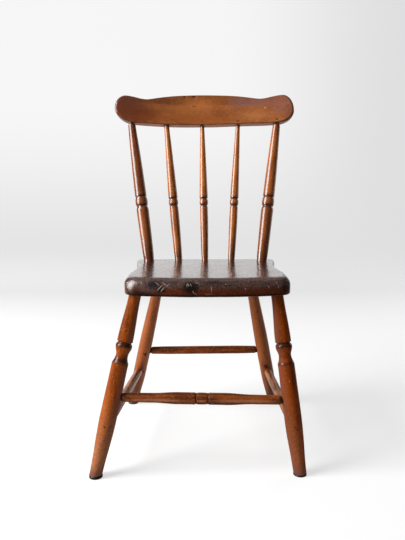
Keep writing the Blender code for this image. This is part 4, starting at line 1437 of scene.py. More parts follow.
@dataclass(frozen=True)
class CrestShape:
    """Sizes of the crest rail in its own raked plane: insets from its ends, heights above its lower edge."""

    rake: float = math.radians(15.4)
    back_height: float = 0.3663
    setback: float = 0.139
    thickness: float = 0.024
    half: float = 0.2443
    lower_inset: Range = (0.0523, 0.0403)
    arch_inset: float = 0.1443
    arch_reach: float = 0.035
    arch_rise: Range = (-0.0007, 0.0018)
    tip_rise: Range = (0.0400, 0.0328)
    lobe_inset: float = 0.0293
    lobe_rise: Range = (0.0765, 0.0790)
    dip_inset: Range = (0.0833, 0.0893)
    dip_rise: Range = (0.0692, 0.0718)
    crown_rise: float = 0.0864
    crown_reach: float = 0.110
    bend: float = 0.0186
    chord: float = 0.19865
    round: float = 0.003

    def bend_at(self, x: float) -> float:
        """How far back the bent rail lies at x, from the chord through its posts."""
        return self.bend * (1.0 - (x / self.chord) ** 2)

    def point(self, x: float, rise: float, forward: float) -> Vector:
        """A point of the rail in the chair's frame: across, up its raked face, forward of its middle."""
        up = Vector((0.0, math.sin(self.rake), math.cos(self.rake)))
        front = Vector((0.0, -math.cos(self.rake), math.sin(self.rake)))
        back = self.setback + math.tan(self.rake) * self.back_height
        start = Vector((x, back, SEAT_TOP + self.back_height))
        return start + up * rise + front * (forward - self.bend_at(x))

    def side(self, side: int) -> Outline:
        """The outline's nodes on one side: x, y, tangent x, tangent y, reach before, reach after."""
        lobe, tip = self.lobe_rise[side], self.tip_rise[side]
        lobe_x = self.half - self.lobe_inset
        dip_x = self.half - self.dip_inset[side]
        valley = (lobe_x - dip_x) / 3.0
        corner = self.lower_inset[side]
        arch = self.arch_reach
        return [
            (self.half - self.arch_inset, self.arch_rise[side], 1.0, 0.0, arch, arch),
            (self.half - corner, 0.0, 1.0, 0.0, arch, corner * ROUND_REACH),
            (self.half, tip, 0.0, 1.0, tip * ROUND_REACH, (lobe - tip) * ROUND_REACH),
            (lobe_x, lobe, -1.0, 0.0, self.lobe_inset * ROUND_REACH, valley),
            (dip_x, self.dip_rise[side], -1.0, 0.0, valley, valley),
        ]

    def outline(self) -> Outline:
        """The nodes of the whole outline."""
        crown = [(0.0, self.crown_rise, -1.0, 0.0, self.crown_reach, self.crown_reach)]
        return mirrored_outline(self.side(1), self.side(0), [], crown)


CREST = CrestShape()


def mirrored_outline(right: Outline, left: Outline, first: Outline, last: Outline) -> Outline:
    """A closed outline: a first node, the right side up, a last node and the left side back down.

    Args:
        right: Nodes of the right side.
        left: Nodes of the left side, given as if they were on the right.
        first: Nodes before the right side.
        last: Nodes between the two sides.

    Returns:
        The nodes in order, the left ones mirrored.
    """
    nodes = [*first, *right, *last]
    for x, y, along_x, along_y, before, after in reversed(left):
        nodes.append((-x, y, along_x, -along_y, after, before))
    return nodes


class Board(Workpiece):
    """A board cut to a closed outline, its middle plane at z = 0."""

    def cut_out(self, nodes: Outline, thickness: float, steps: int) -> None:
        """Draw the outline, fill it and give it its thickness.

        Args:
            nodes: The outline's nodes: x, y, tangent x, tangent y, reach before, reach after.
            thickness: The board's thickness.
            steps: Straight pieces between two nodes.
        """
        points: list[Vector] = []
        for near, far in zip(nodes, [*nodes[1:], nodes[0]]):
            start = Vector((near[0], near[1], -thickness / 2.0))
            end = Vector((far[0], far[1], -thickness / 2.0))
            leave = start + Vector((near[2], near[3], 0.0)).normalized() * near[5]
            arrive = end - Vector((far[2], far[3], 0.0)).normalized() * far[4]
            points += interpolate_bezier(start, leave, arrive, end, steps + 1)[:-1]
        self.chain(points)
        ends = [vert for vert in self.mesh.verts if len(vert.link_edges) == 1]
        bmesh.ops.contextual_create(self.mesh, geom=ends)
        bmesh.ops.contextual_create(self.mesh, geom=self.mesh.edges[:])
        grown = bmesh.ops.extrude_face_region(self.mesh, geom=self.mesh.faces[:])
        lift(self.mesh, grown, thickness)
        bmesh.ops.recalc_face_normals(self.mesh, faces=self.mesh.faces)

    def round_rims(self, width: float, segments: int, share: Callable[[Vector], float]) -> None:
        """Round the rims of the board's flat sides.

        Args:
            width: The widest rounding.
            segments: Steps of the rounding.
            share: The share of the width that an edge gets, from its middle.
        """
        weights = self.mesh.edges.layers.float.new("bevel_weight_edge")
        for edge in self.mesh.edges:
            flat = [abs(face.normal.z) > 0.9 for face in edge.link_faces]
            if any(flat) and not all(flat):
                edge[weights] = share((edge.verts[0].co + edge.verts[1].co) / 2.0)

        def bevel(holder: bpy.types.Object) -> None:
            """Add the bevel that reads the weights."""
            rounding = holder.modifiers.new("Round rims", "BEVEL")
            rounding.limit_method = "WEIGHT"
            rounding.width = width
            rounding.segments = segments
            rounding.use_clamp_overlap = False

        self.settle(bevel)


@dataclass
class CrestRail:
    """The shaped and bent board across the top of the back, with its chips, dents and stains."""

    shape: CrestShape = CREST
    slice_x: float = 0.0030
    slice_y: float = 0.0034
    end_round: float = 0.0078
    end_round_from: Range = (0.195, 0.035)
    outline_steps: int = 14
    rim_steps: int = 5
    swelling: Range = (0.00035, 0.045)
    pattern_shift: float = 41.0
    top_edge: float = 0.055
    top_rim: Range = (0.70, 0.0018)
    low_rim: Range = (0.10, 0.0011)
    rim_fade: float = 0.0016
    dark_ends: float = 0.205
    left_end: Range = (0.90, 0.012)
    # Painted shade: a dark band on the rounding of the right end, which faces away from the window.
    right_end_shade: Range = (0.95, 0.015)
    line_inset: float = 0.0011
    line_strength: float = 0.85
    band_inset: float = 0.0040
    band_reach: float = 0.0030
    brad_rise: float = 0.009
    brad_stain: Span = (0.0066, 0.0032, 0.01)
    # Painted shade on the rail's lower edge beside each upright, where its tenon enters.
    tenon_edge: float = 0.001
    tenon_shade: Span = (0.016, 0.0026, 0.016)
    chip_reach: Range = (0.010, 0.006)
    chip_press: Span = (0.0, 0.25, -1.0)
    chips: Sequence[tuple[Pixel, float, float]] = (
        ((184.8, 97.4), 0.0062, 0.0030),
        ((194.4, 97.0), 0.0078, 0.0024),
    )
    dents: Sequence[tuple[Pixel, Span, float]] = (
        ((194.0, 106.4), (0.0034, 0.006, 0.0016), 0.0007),
        ((264.9, 107.7), (0.0018, 0.006, 0.0016), 0.0006),
    )
    varnish: Varnish = Varnish(
        "crest_varnish",
        stain=(0.310, 0.094, 0.020),
        deep=(0.150, 0.036, 0.009),
        worn=(0.400, 0.145, 0.040),
        grain=(0.05, 1.0, 1.0),
        drift=(0.35, 1.0, 1.0),
        blotch_scale=34.0,
        blotch=(0.40, 0.70, 0.50),
        mottle_scale=210.0,
        mottle=0.45,
        roughness=(0.30, 0.46),
        gathered_coat=0.15,
        gathered_roughness=0.20,
        ragged_scale=95.0,
        ragged_push=0.030,
    )
    patches: Sequence[Blemish] = (
        Blemish((128.0, 107.5), (0.098, 0.070, 0.03), (0.140, 0.036, 0.014), 0.90, 0.2),
        Blemish((160.0, 100.0), (0.080, 0.016, 0.03), (0.140, 0.036, 0.014), 0.60, 0.0),
        Blemish((143.0, 115.0), (0.070, 0.032, 0.03), (0.150, 0.030, 0.006), 0.85, 0.1),
        Blemish((127.0, 98.0), (0.052, 0.028, 0.03), (0.130, 0.040, 0.026), 0.60, 0.0),
        Blemish((235.0, 104.5), (0.034, 0.024, 0.03), (0.260, 0.080, 0.036), 0.50, 0.0),
        Blemish((200.0, 104.5), (0.070, 0.030, 0.03), (0.450, 0.138, 0.034), 0.70, 0.0),
        Blemish((190.0, 118.5), (0.220, 0.016, 0.03), (0.290, 0.066, 0.009), 0.70, 0.0),
        Blemish((243.0, 101.8), (0.058, 0.020, 0.03), (0.190, 0.080, 0.066), 0.90, 0.1),
        Blemish((262.0, 102.5), (0.060, 0.022, 0.03), (0.235, 0.088, 0.058), 0.85, 0.1),
        Blemish((255.0, 115.5), (0.062, 0.022, 0.03), (0.430, 0.150, 0.052), 0.55, 0.0),
        Blemish((281.0, 104.0), (0.040, 0.042, 0.03), (0.250, 0.088, 0.052), 0.85, 0.2),
        Blemish((288.5, 110.0), (0.018, 0.034, 0.03), (0.180, 0.058, 0.032), 0.70, 0.1),
    )
    nicks: Sequence[Blemish] = (
        Blemish((194.0, 106.4), (0.0064, 0.0024, 0.01), DARK_SPOT, 0.85, 0.1),
        Blemish((264.9, 107.7), (0.0026, 0.0022, 0.01), PALE_CHIP, 0.9, 0.2),
        Blemish((288.0, 106.0), (0.0040, 0.0050, 0.01), (0.060, 0.022, 0.018), 0.55, 0.1),
        Blemish((278.0, 107.0), (0.0045, 0.0038, 0.01), (0.070, 0.028, 0.020), 0.45, 0.1),
        Blemish((172.6, 119.8), (0.0014, 0.0050, 0.01), (0.050, 0.016, 0.010), 0.70, 0.1),
        Blemish((175.6, 120.6), (0.0012, 0.0035, 0.01), (0.050, 0.016, 0.010), 0.60, 0.1),
        Blemish((184.4, 97.2), (0.0064, 0.0017, 0.01), DARK_SPOT, 0.95, 0.3),
        Blemish((194.0, 96.8), (0.0080, 0.0015, 0.01), DARK_SPOT, 0.90, 0.3),
        Blemish((187.0, 97.2), (0.0018, 0.0012, 0.01), PALE_CHIP, 0.6, 0.2),
        Blemish((197.0, 96.8), (0.0018, 0.0010, 0.01), PALE_CHIP, 0.5, 0.2),
    )
    brads: Sequence[tuple[str, float]] = (
        ("post_left", 0.25),
        ("spindle_left", 0.2),
        ("spindle_centre", 0.4),
        ("spindle_right", 0.8),
        ("post_right", 0.75),
    )

    def build(self) -> None:
        """Cut, bend, wear and place the rail."""
        board = Board("crest_board")
        board.cut_out(self.shape.outline(), self.shape.thickness, self.outline_steps)
        board.round_rims(self.end_round, self.rim_steps, self.rim_share)
        board.slice_across(0, -self.shape.half, self.shape.half, self.slice_x)
        board.slice_across(1, 0.0, self.shape.crown_rise, self.slice_y)
        board.keep_bench_coordinates()
        board.roughen(*self.swelling)
        for vert in board.mesh.verts:
            vert.co.z -= self.shape.bend_at(vert.co.x)
        rise = Euler((math.pi / 2.0 - self.shape.rake, 0.0, 0.0)).to_matrix().to_4x4()
        board.move(ORIGIN + self.shape.point(0.0, 0.0, self.shape.bend), rise)
        layer = board.mesh.verts.layers.float.new("gathered_and_shade")
        bench = board.mesh.verts.layers.float_vector["bench"]
        for vert in board.mesh.verts:
            vert[layer] = self.edge_varnish(vert[bench])
        for pixel, reach, depth in self.chips:
            board.dent(board.at_pixel(pixel)[0], (reach, *self.chip_reach), depth, Vector(self.chip_press))
        for pixel, reach, depth in self.dents:
            board.dent(board.at_pixel(pixel)[0], reach, depth, Vector((0.0, 1.0, 0.0)))
        patches = [patch.on(board) for patch in self.patches]
        nicks = [nick.on(board) for nick in self.nicks] + self.brad_stains_and_tenon_shade()
        material = self.varnish.dress("crest", self.pattern_shift, patches, nicks)
        board.finish("crest_rail", "crest_varnish", material)

    def rim_share(self, middle: Vector) -> float:
        """The share of the ends' rounding that an edge gets: all at the ends, less between them."""
        return mix(self.shape.round / self.end_round, 1.0, ramp(abs(middle.x), *self.end_round_from))

    def edge_varnish(self, bench: Vector) -> float:
        """Dark varnish on the rail's edges, and painted shade round its right end, from a point in bench
        coordinates.
        """
        inside = self.shape.thickness / 2.0 - abs(bench.z)
        base, reach = self.top_rim if bench.y > self.top_edge else self.low_rim
        base = mix(base, self.left_end[0], ramp(-bench.x, self.dark_ends, self.left_end[1]))
        line = self.line_strength * clamp(1.0 - abs(inside - self.line_inset) / reach)
        # Painted shade in a band round the right end.
        across = clamp(1.5 - abs(inside - self.band_inset) / self.band_reach)
        band = self.right_end_shade[0] * ramp(bench.x, self.dark_ends, self.right_end_shade[1]) * across
        return max(line, band, base * clamp(inside / self.rim_fade))

    def brad_stains_and_tenon_shade(self) -> list[Mark]:
        """The dark stains round the brads that pin the uprights, and painted shade where their tenons enter
        the rail.
        """
        stains = []
        for name, strength in self.brads:
            low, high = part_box(f"brad_{name}")
            x = (low.x + high.x) / 2.0 - ORIGIN.x
            brad = Vector((x, self.brad_rise, self.shape.thickness / 2.0))
            tenon = Vector((x, -self.tenon_edge, self.tenon_edge))
            stains.append(Mark(brad, self.brad_stain, DARK_SPOT, strength, 0.1))
            # Painted shade under the rail beside the upright.
            stains.append(Mark(tenon, self.tenon_shade, DARK_SPOT, 0.9, 0.45))
        return stains


@dataclass
class SeatPlank:
    """The seat: a plank with a bowed and rolled front, narrowed at its waist, darkly varnished."""

    front_y: float = -0.181
    rear_y: float = 0.182
    front_half: float = 0.1792
    waist_half: float = 0.1675
    rear_half: float = 0.1835
    bow: float = 0.016
    front_corner: float = 0.030
    rear_corner: float = 0.013
    waist_y: float = 0.025
    roll: float = 0.024
    edge_round: float = 0.005
    under_round: float = 0.0055
    roll_fade: float = 0.085
    nose: float = 0.031
    grid: float = 0.006
    face_grid: float = 0.004
    outline_steps: int = 12
    rim_steps: int = 8
    side_from: Range = (0.80, 0.18)
    nose_from: Range = (0.35, 0.4)
    level: float = 0.02
    swellings: Sequence[Range] = ((0.00045, 0.060), (0.00018, 0.014))

    def outline(self) -> Outline:
        """The nodes of the plank's plan."""
        corner_x = self.front_half - self.front_corner
        corner_y = self.front_y + self.bow
        side_y = corner_y + self.front_corner
        reach = corner_x / 3.0
        waist = (self.waist_y - side_y) / 3.0
        rear_y = self.rear_y - self.rear_corner
        rear = (rear_y - self.waist_y) / 3.0
        turn = self.front_corner * ROUND_REACH
        back_turn = self.rear_corner * ROUND_REACH
        right = [
            (corner_x, corner_y, 1.0, 2.0 * self.bow / corner_x, reach, turn),
            (self.front_half, side_y, 0.0, 1.0, turn, waist),
            (self.waist_half, self.waist_y, 0.0, 1.0, waist, rear),
            (self.rear_half, rear_y, 0.0, 1.0, rear, back_turn),
            (self.rear_half - self.rear_corner, self.rear_y, -1.0, 0.0, back_turn, self.rear_half / 3.0),
        ]
        return mirrored_outline(right, right, [(0.0, self.front_y, 1.0, 0.0, reach, reach)], [])

    def rim_share(self, middle: Vector) -> float:
        """The share of the front roll that a rim edge gets: all in front, less at the sides and below."""
        if middle.z < 0.0:
            return self.under_round / self.roll
        behind = (middle.y - self.front_y - self.bow) / self.roll_fade
        return mix(1.0, self.edge_round / self.roll, clamp(behind))

    def build(self) -> None:
        """Cut, round, wear and place the plank."""
        board = Board("seat_plank")
        board.cut_out(self.outline(), SEAT_THICKNESS, self.outline_steps)
        board.round_rims(self.roll, self.rim_steps, self.rim_share)
        board.slice_across(0, -self.rear_half, self.rear_half, self.grid)
        board.slice_across(1, self.front_y, self.rear_y, self.grid)
        board.slice_across(2, -SEAT_HALF, SEAT_HALF, self.face_grid)
        board.keep_bench_coordinates()
        self.swell_nose(board)
        for swelling in self.swellings:
            board.roughen(*swelling)
        middle = ORIGIN + Vector((SEAT_SHIFT_X, 0.0, SEAT_UNDERSIDE + SEAT_HALF))
        bmesh.ops.translate(board.mesh, verts=board.mesh.verts, vec=middle)
        board.finish("seat", "seat_varnish", SeatVarnish().dress(board))

    def swell_nose(self, board: Workpiece) -> None:
        """Carry the roll of the top rim down the face as a flatter curve, and note where the sides turn."""
        board.mesh.normal_update()
        rim = board.mesh.verts.layers.float.new("rim")
        moves = []
        for vert in board.mesh.verts:
            out = Vector((vert.normal.x, vert.normal.y, 0.0))
            vert[rim] = ramp(abs(vert.normal.x), *self.side_from)
            if out.length < self.level:
                continue
            circle = self.roll * self.rim_share(Vector((vert.co.x, vert.co.y, SEAT_HALF)))
            curve = mix(circle, self.nose, ramp(-out.normalized().y, *self.nose_from))
            inset = [
                circle * (1.0 - math.sqrt(1.0 - clamp((vert.co.z - SEAT_HALF + depth) / depth) ** 2))
                for depth in (circle, curve)
            ]
            moves.append((vert, out.normalized() * (inset[0] - inset[1])))
        for vert, move in moves:
            vert.co += move


@dataclass(frozen=True)
class SeatVarnish:
    """The seat's dark glossy varnish: worn red in patches, near black in others, pitted and scratched."""

    black: Colour = (0.010, 0.004, 0.003)
    brown: Colour = (0.056, 0.015, 0.005)
    red: Colour = (0.115, 0.026, 0.005)
    # Pale specks on the upper face: dust, with painted sheen.
    dusty: Colour = (0.160, 0.100, 0.088)
    ember: Colour = (0.092, 0.017, 0.002)
    edge: Colour = (0.004, 0.001, 0.0005)
    calm: Colour = (0.050, 0.013, 0.006)
    wood: Colour = (0.120, 0.062, 0.034)
    rubbed: Colour = (0.100, 0.052, 0.040)
    roughness: Range = (0.23, 0.29)
    scar_roughness: float = 0.45
    bare_roughness: float = 0.6
    worn_roughness: float = 0.36
    pit_roughness: float = 0.9
    gloss: float = 0.42
    coat: float = 0.30
    coat_roughness: float = 0.12
    relief: float = 0.00006
    pit_scale: float = 105.0
    fibre: float = 0.35
    rubbed_share: float = 0.8
    calm_depth: Range = (0.004, 0.0005)
    calm_share: float = 0.6
    clean_depth: Range = (0.0020, 0.0002)
    clean_share: float = 0.15
    edge_height: Range = (0.0085, 0.002)
    edge_share: float = 0.95
    wood_height: Range = (0.003, 0.0002)
    patches: Sequence[Blemish] = (
        Blemish((133.0, 273.5), (0.022, 0.040, 0.016), (0.040, 0.018, 0.010), 0.80, 0.1),
        Blemish((283.0, 273.5), (0.022, 0.040, 0.016), (0.050, 0.020, 0.010), 0.80, 0.1),
        # Painted sheen: a grey film on the left of the front face.
        Blemish((149.0, 289.0), (0.036, 0.018, 0.012), (0.095, 0.056, 0.052), 0.65, 0.1),
        Blemish((153.0, 284.0), (0.026, 0.018, 0.018), (0.008, 0.005, 0.006), 0.92, 0.2),
        Blemish((161.0, 290.5), (0.018, 0.016, 0.012), (0.006, 0.003, 0.002), 0.90, 0.1),
        Blemish((190.5, 287.5), (0.027, 0.018, 0.024), (0.006, 0.003, 0.002), 0.95, 0.25),
        Blemish((138.0, 293.0), (0.030, 0.016, 0.006), (0.010, 0.004, 0.003), 0.85, 0.1),
        Blemish((172.0, 283.0), (0.022, 0.014, 0.007), (0.020, 0.011, 0.010), 0.60, 0.0),
        Blemish((208.5, 294.2), (0.012, 0.012, 0.0026), (0.280, 0.085, 0.022), 0.75, 0.1),
        Blemish((214.0, 283.0), (0.034, 0.014, 0.010), (0.012, 0.007, 0.007), 0.70, 0.0),
        Blemish((285.0, 288.0), (0.012, 0.014, 0.012), (0.014, 0.006, 0.004), 0.70, 0.1),
        Blemish((138.4, 265.0), (0.014, 0.014, 0.014), (0.360, 0.125, 0.036), 0.85, 0.3),
    )
    scratches: Sequence[Scratch] = (
        Scratch((156.6, 291.0), (162.6, 284.8), 0.0014, 0.9),
        Scratch((160.3, 292.2), (164.6, 286.8), 0.0014, 0.9),
        Scratch((154.4, 281.4), (159.4, 286.0), 0.0014, 0.5),
        Scratch((161.4, 281.9), (168.0, 286.6), 0.0013, 0.55),
        Scratch((165.6, 288.0), (171.0, 282.6), 0.0012, 0.45),
        Scratch((187.4, 283.0), (189.2, 286.7), 0.0014, 0.9),
        Scratch((190.2, 283.2), (191.4, 286.3), 0.0013, 0.8),
        Scratch((192.3, 290.5), (194.0, 293.4), 0.0014, 0.6),
        Scratch((194.0, 293.4), (196.8, 294.6), 0.0013, 0.5),
        Scratch((211.3, 285.5), (211.5, 292.6), 0.0014, 0.5),
        Scratch((268.2, 285.6), (269.5, 288.5), 0.0018, 0.6),
        Scratch((275.4, 281.6), (277.4, 283.9), 0.0018, 0.6),
        Scratch((278.1, 286.0), (278.6, 288.5), 0.0018, 0.5),
        Scratch((186.6, 287.4), (187.2, 283.4), 0.0013, 0.75),
        Scratch((139.6, 280.2), (142.4, 285.4), 0.0018, 0.35),
        Scratch((194.0, 282.9), (200.0, 283.3), 0.0018, 0.35),
        Scratch((281.4, 281.8), (282.8, 284.0), 0.0018, 0.45),
        Scratch((278.4, 275.6), (279.6, 277.4), 0.0020, 0.8, DARK_SPOT),
        Scratch((134.6, 273.6), (133.2, 276.4), 0.0024, 0.85, DARK_SPOT),
    )
    specks: Sequence[Blemish] = (
        Blemish((245.3, 289.0), (0.0013, 0.0013, 0.0013), (0.700, 0.600, 0.520), 0.9, 0.4),
        Blemish((245.5, 280.2), (0.0018, 0.0018, 0.0014), (0.300, 0.240, 0.220), 0.6, 0.2),
        Blemish((225.5, 284.0), (0.0012, 0.0012, 0.0012), PALE_CHIP, 0.6, 0.3),
    )

    def dress(self, board: Workpiece) -> Material:
        """Make the seat's finish.

        Args:
            board: The placed seat, on which the marks of the photograph are found.

        Returns:
            The material.
        """
        sheet = Sheet("seat_varnish_worn")
        bench = sheet.attribute("bench", "Vector")
        height = sheet.split(bench)[2]
        fibre = sheet.cloud(sheet.shifted(bench, (0.05, 1.0, 1.0), 9.0), 560.0, 5.0)
        mottle = sheet.cloud(bench, 170.0)
        speck = sheet.cloud(bench, 430.0)
        worn = sheet.times(sheet.attribute("rim", "Fac"), sheet.graph(mottle, 0.25, 0.55, 0.7, 1.0))
        pits = self.pits(sheet, bench)
        facing_down = sheet.times(sheet.split("Normal")[2], -1.0)
        below = self.above_underside(sheet, height, self.wood_height, 1.0)
        below = sheet.times(below, sheet.graph(facing_down, 0.5, 0.9))
        patches, cuts, specks = (
            [mark.on(board) for mark in marks] for marks in (self.patches, self.scratches, self.specks)
        )
        scratches = sheet.marks(bench, cuts, 300.0, 0.0006)
        scars = sheet.most(*(mask for mask, _ in scratches))
        layers = [
            *self.ground(sheet, bench, mottle, speck),
            (sheet.graph(fibre, 0.50, 0.72, 0.0, self.fibre), self.black),
            (sheet.times(worn, self.rubbed_share), self.rubbed),
            (self.below_top(sheet, height, self.calm_depth, 0.0, self.calm_share), self.calm),
            *sheet.marks(bench, patches, 150.0, 0.012),
            *scratches,
            *sheet.marks(bench, specks, 300.0, 0.0006),
            (pits, self.black),
            (self.above_underside(sheet, height, self.edge_height, self.edge_share), self.edge),
            (below, sheet.over(sheet.graph(fibre, 0.4, 0.7), self.wood, self.brown)),
        ]
        rough = sheet.most(
            sheet.graph(mottle, *SPREAD, *self.roughness),
            sheet.times(scars, self.scar_roughness),
            sheet.times(below, self.bare_roughness),
            sheet.times(worn, self.worn_roughness),
            sheet.times(pits, self.pit_roughness),
        )
        bare = sheet.most(sheet.times(worn, 0.5), below, pits, sheet.graph(height, 0.005, -0.005, 0.0, 0.8))
        surface = sheet.weighted((mottle, 0.8), (fibre, 0.35), (speck, 0.5), (scars, -1.6), (pits, -6.0))
        sheet.bump(surface, self.relief)
        return sheet.shade({
            "Base Color": sheet.layered(self.black, layers),
            "Roughness": rough,
            "Specular IOR Level": self.gloss,
            "Coat Weight": sheet.graph(bare, 0.1, 0.7, self.coat, 0.0),
            "Coat Roughness": self.coat_roughness,
        })

    def ground(self, sheet: Sheet, bench: Feed, mottle: Feed, speck: Feed) -> list[Layer]:
        """The varnish's own layers over the black: brown and red patches, embers low down, and above them
        pale specks of dust with painted sheen.

        Args:
            sheet: The material's sheet.
            bench: The seat's bench coordinates.
            mottle: The noise of the small mottling.
            speck: The noise of the dust's specks.

        Returns:
            The mask and the colour of each layer.
        """
        across, _, height = sheet.split(bench)
        blotch = sheet.cloud(sheet.shifted(bench, (0.5, 1.0, 1.0), 4.0), 32.0, 5.0, 0.8)
        low = sheet.broken(sheet.graph(height, 0.006, -0.008), mottle, 0.65)
        low = sheet.times(low, sheet.graph(across, -0.135, -0.085, 0.35, 1.0))
        # Pale specks above the middle of the face, few on the top: dust, with painted sheen.
        high = sheet.times(sheet.graph(height, -0.008, 0.008), sheet.graph(speck, 0.40, 0.64, 0.1, 0.8))
        high = sheet.times(high, self.below_top(sheet, height, self.clean_depth, 1.0, self.clean_share))
        return [
            (sheet.graph(blotch, 0.40, 0.62), self.brown),
            (sheet.graph(blotch, 0.60, 0.76, 0.0, 0.5), self.red),
            (low, self.ember),
            (high, self.dusty),
        ]

    @staticmethod
    def below_top(sheet: Sheet, height: Feed, depths: Range, deeper: float, nearer: float) -> Socket:
        """A strength that changes between two depths below the seat's top."""
        return sheet.graph(height, SEAT_HALF - depths[0], SEAT_HALF - depths[1], deeper, nearer)

    @staticmethod
    def above_underside(sheet: Sheet, height: Feed, heights: Range, strength: float) -> Socket:
        """A strength that is reached between two heights above the seat's underside."""
        return sheet.graph(height, heights[0] - SEAT_HALF, heights[1] - SEAT_HALF, 0.0, strength)

    def pits(self, sheet: Sheet, bench: Feed) -> Socket:
        """Small pits scattered over the seat, some cells of a loose grid holding one."""
        cells = sheet.lay("TexVoronoi", {"Vector": bench, "Scale": self.pit_scale, "Randomness": 1.0})
        chosen = sheet.lay("SeparateColor", {0: cells.outputs["Color"]}).outputs[0]
        hole = sheet.graph(cells.outputs["Distance"], 0.08, 0.15, 1.0, 0.0)
        return sheet.times(hole, sheet.graph(chosen, 0.66, 0.70))


@dataclass
class Upright:
    """A post or spindle: its feet in the seat, its top in the crest rail, its thickness and its finish."""

    name: str
    base: Range
    top_x: float
    pattern: Union[PostPattern, SpindlePattern]
    varnish: Varnish
    extra_d: float = 0.0
    scored: float = 0.0
    swelling: Range = (0.00018, 0.022)
    scored_ring: Range = (0.0022, 1.0)
    pattern_shift: Range = (60.0, 2.9)

    def build(self, number: int) -> None:
        """Turn the upright and stand it between the seat and the crest rail.

        Args:
            number: The upright's number, which moves its pattern.
        """
        base = Vector((*self.base, SEAT_TOP))
        top = CREST.point(self.top_x, 0.0, 0.0)
        up = (top - base).normalized()
        lean = up.angle(Vector((0.0, math.sin(CREST.rake), math.cos(CREST.rake))))
        turning = self.pattern.turning((top - base).length, lean, self.extra_d)
        if self.scored > 0.0:
            turning.ring(self.scored, *self.scored_ring)
        wood = Workpiece.turned(f"turned_{self.name}", turning, self.swelling, base, up)
        slot = f"{self.name.split('_')[0]}_varnish"
        shift = self.pattern_shift[0] + number * self.pattern_shift[1]
        wood.finish(self.name, slot, self.varnish.dress(self.name, shift))


@dataclass
class Back:
    """The crest rail with its two posts and three spindles."""

    post: PostPattern = PostPattern()
    spindle: SpindlePattern = SpindlePattern()

    def uprights(self) -> list[Upright]:
        """The posts and spindles, from left to right."""
        return [
            Upright("post_left", (-0.1475, 0.139), -0.1995, self.post, POST_STAIN),
            Upright("spindle_left", (-0.0700, 0.1565), -0.1045, self.spindle, SPINDLE_STAIN, 0.0021, 0.0095),
            Upright("spindle_centre", (0.0005, 0.1600), -0.0060, self.spindle, SPINDLE_STAIN, -0.0002),
            Upright("spindle_right", (0.0712, 0.1565), 0.0925, self.spindle, SPINDLE_STAIN),
            Upright("post_right", (0.1505, 0.139), 0.1978, self.post, RIGHT_POST_STAIN),
        ]

    def build(self) -> None:
        """Build the crest rail and the uprights."""
        CrestRail().build()
        for number, upright in enumerate(self.uprights()):
            upright.build(number)


@dataclass(frozen=True)
class Ironwork:
    """The brads and glide nails, which keep their CAD shape: iron, or varnished over on the rail's left."""

    prefixes: tuple[str, ...] = ("brad_", "glide_nail_")
    covered: tuple[str, ...] = ("brad_post_left", "brad_spindle_left", "brad_spindle_centre")

    def build(self) -> None:
        """Give every brad and nail its finish."""
        iron = Iron().dress()
        stopped = Iron("varnished_iron", (0.150, 0.040, 0.012), (0.200, 0.056, 0.016), 0.0).dress()
        for name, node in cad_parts.items():
            if name.startswith(self.prefixes):
                node.data.materials.clear()
                node.data.materials.append(stopped if name in self.covered else iron)
                LOG.info("%s: iron", name)


@dataclass(frozen=True)
class Lamp:
    """A soft rectangular lamp: where it stands as seen from the chair, its size and its power."""

    name: str
    bearing: float
    height: float
    distance: float
    size: Range
    power: float
    target: Span = (0.0, 0.0, 0.42)

    def hang(self) -> None:
        """Hang the lamp and turn it to its target."""
        data = bpy.data.lights.new(self.name, "AREA")
        data.shape = "RECTANGLE"
        data.size, data.size_y = self.size
        data.energy = self.power
        lamp = stand(self.name, data)
        out = Vector((math.sin(self.bearing), -math.cos(self.bearing), 0.0)) * self.distance
        target = ORIGIN + Vector(self.target)
        lamp.location = target + out + Vector((0.0, 0.0, self.height))
        lamp.rotation_euler = (target - lamp.location).to_track_quat("-Z", "Y").to_euler()


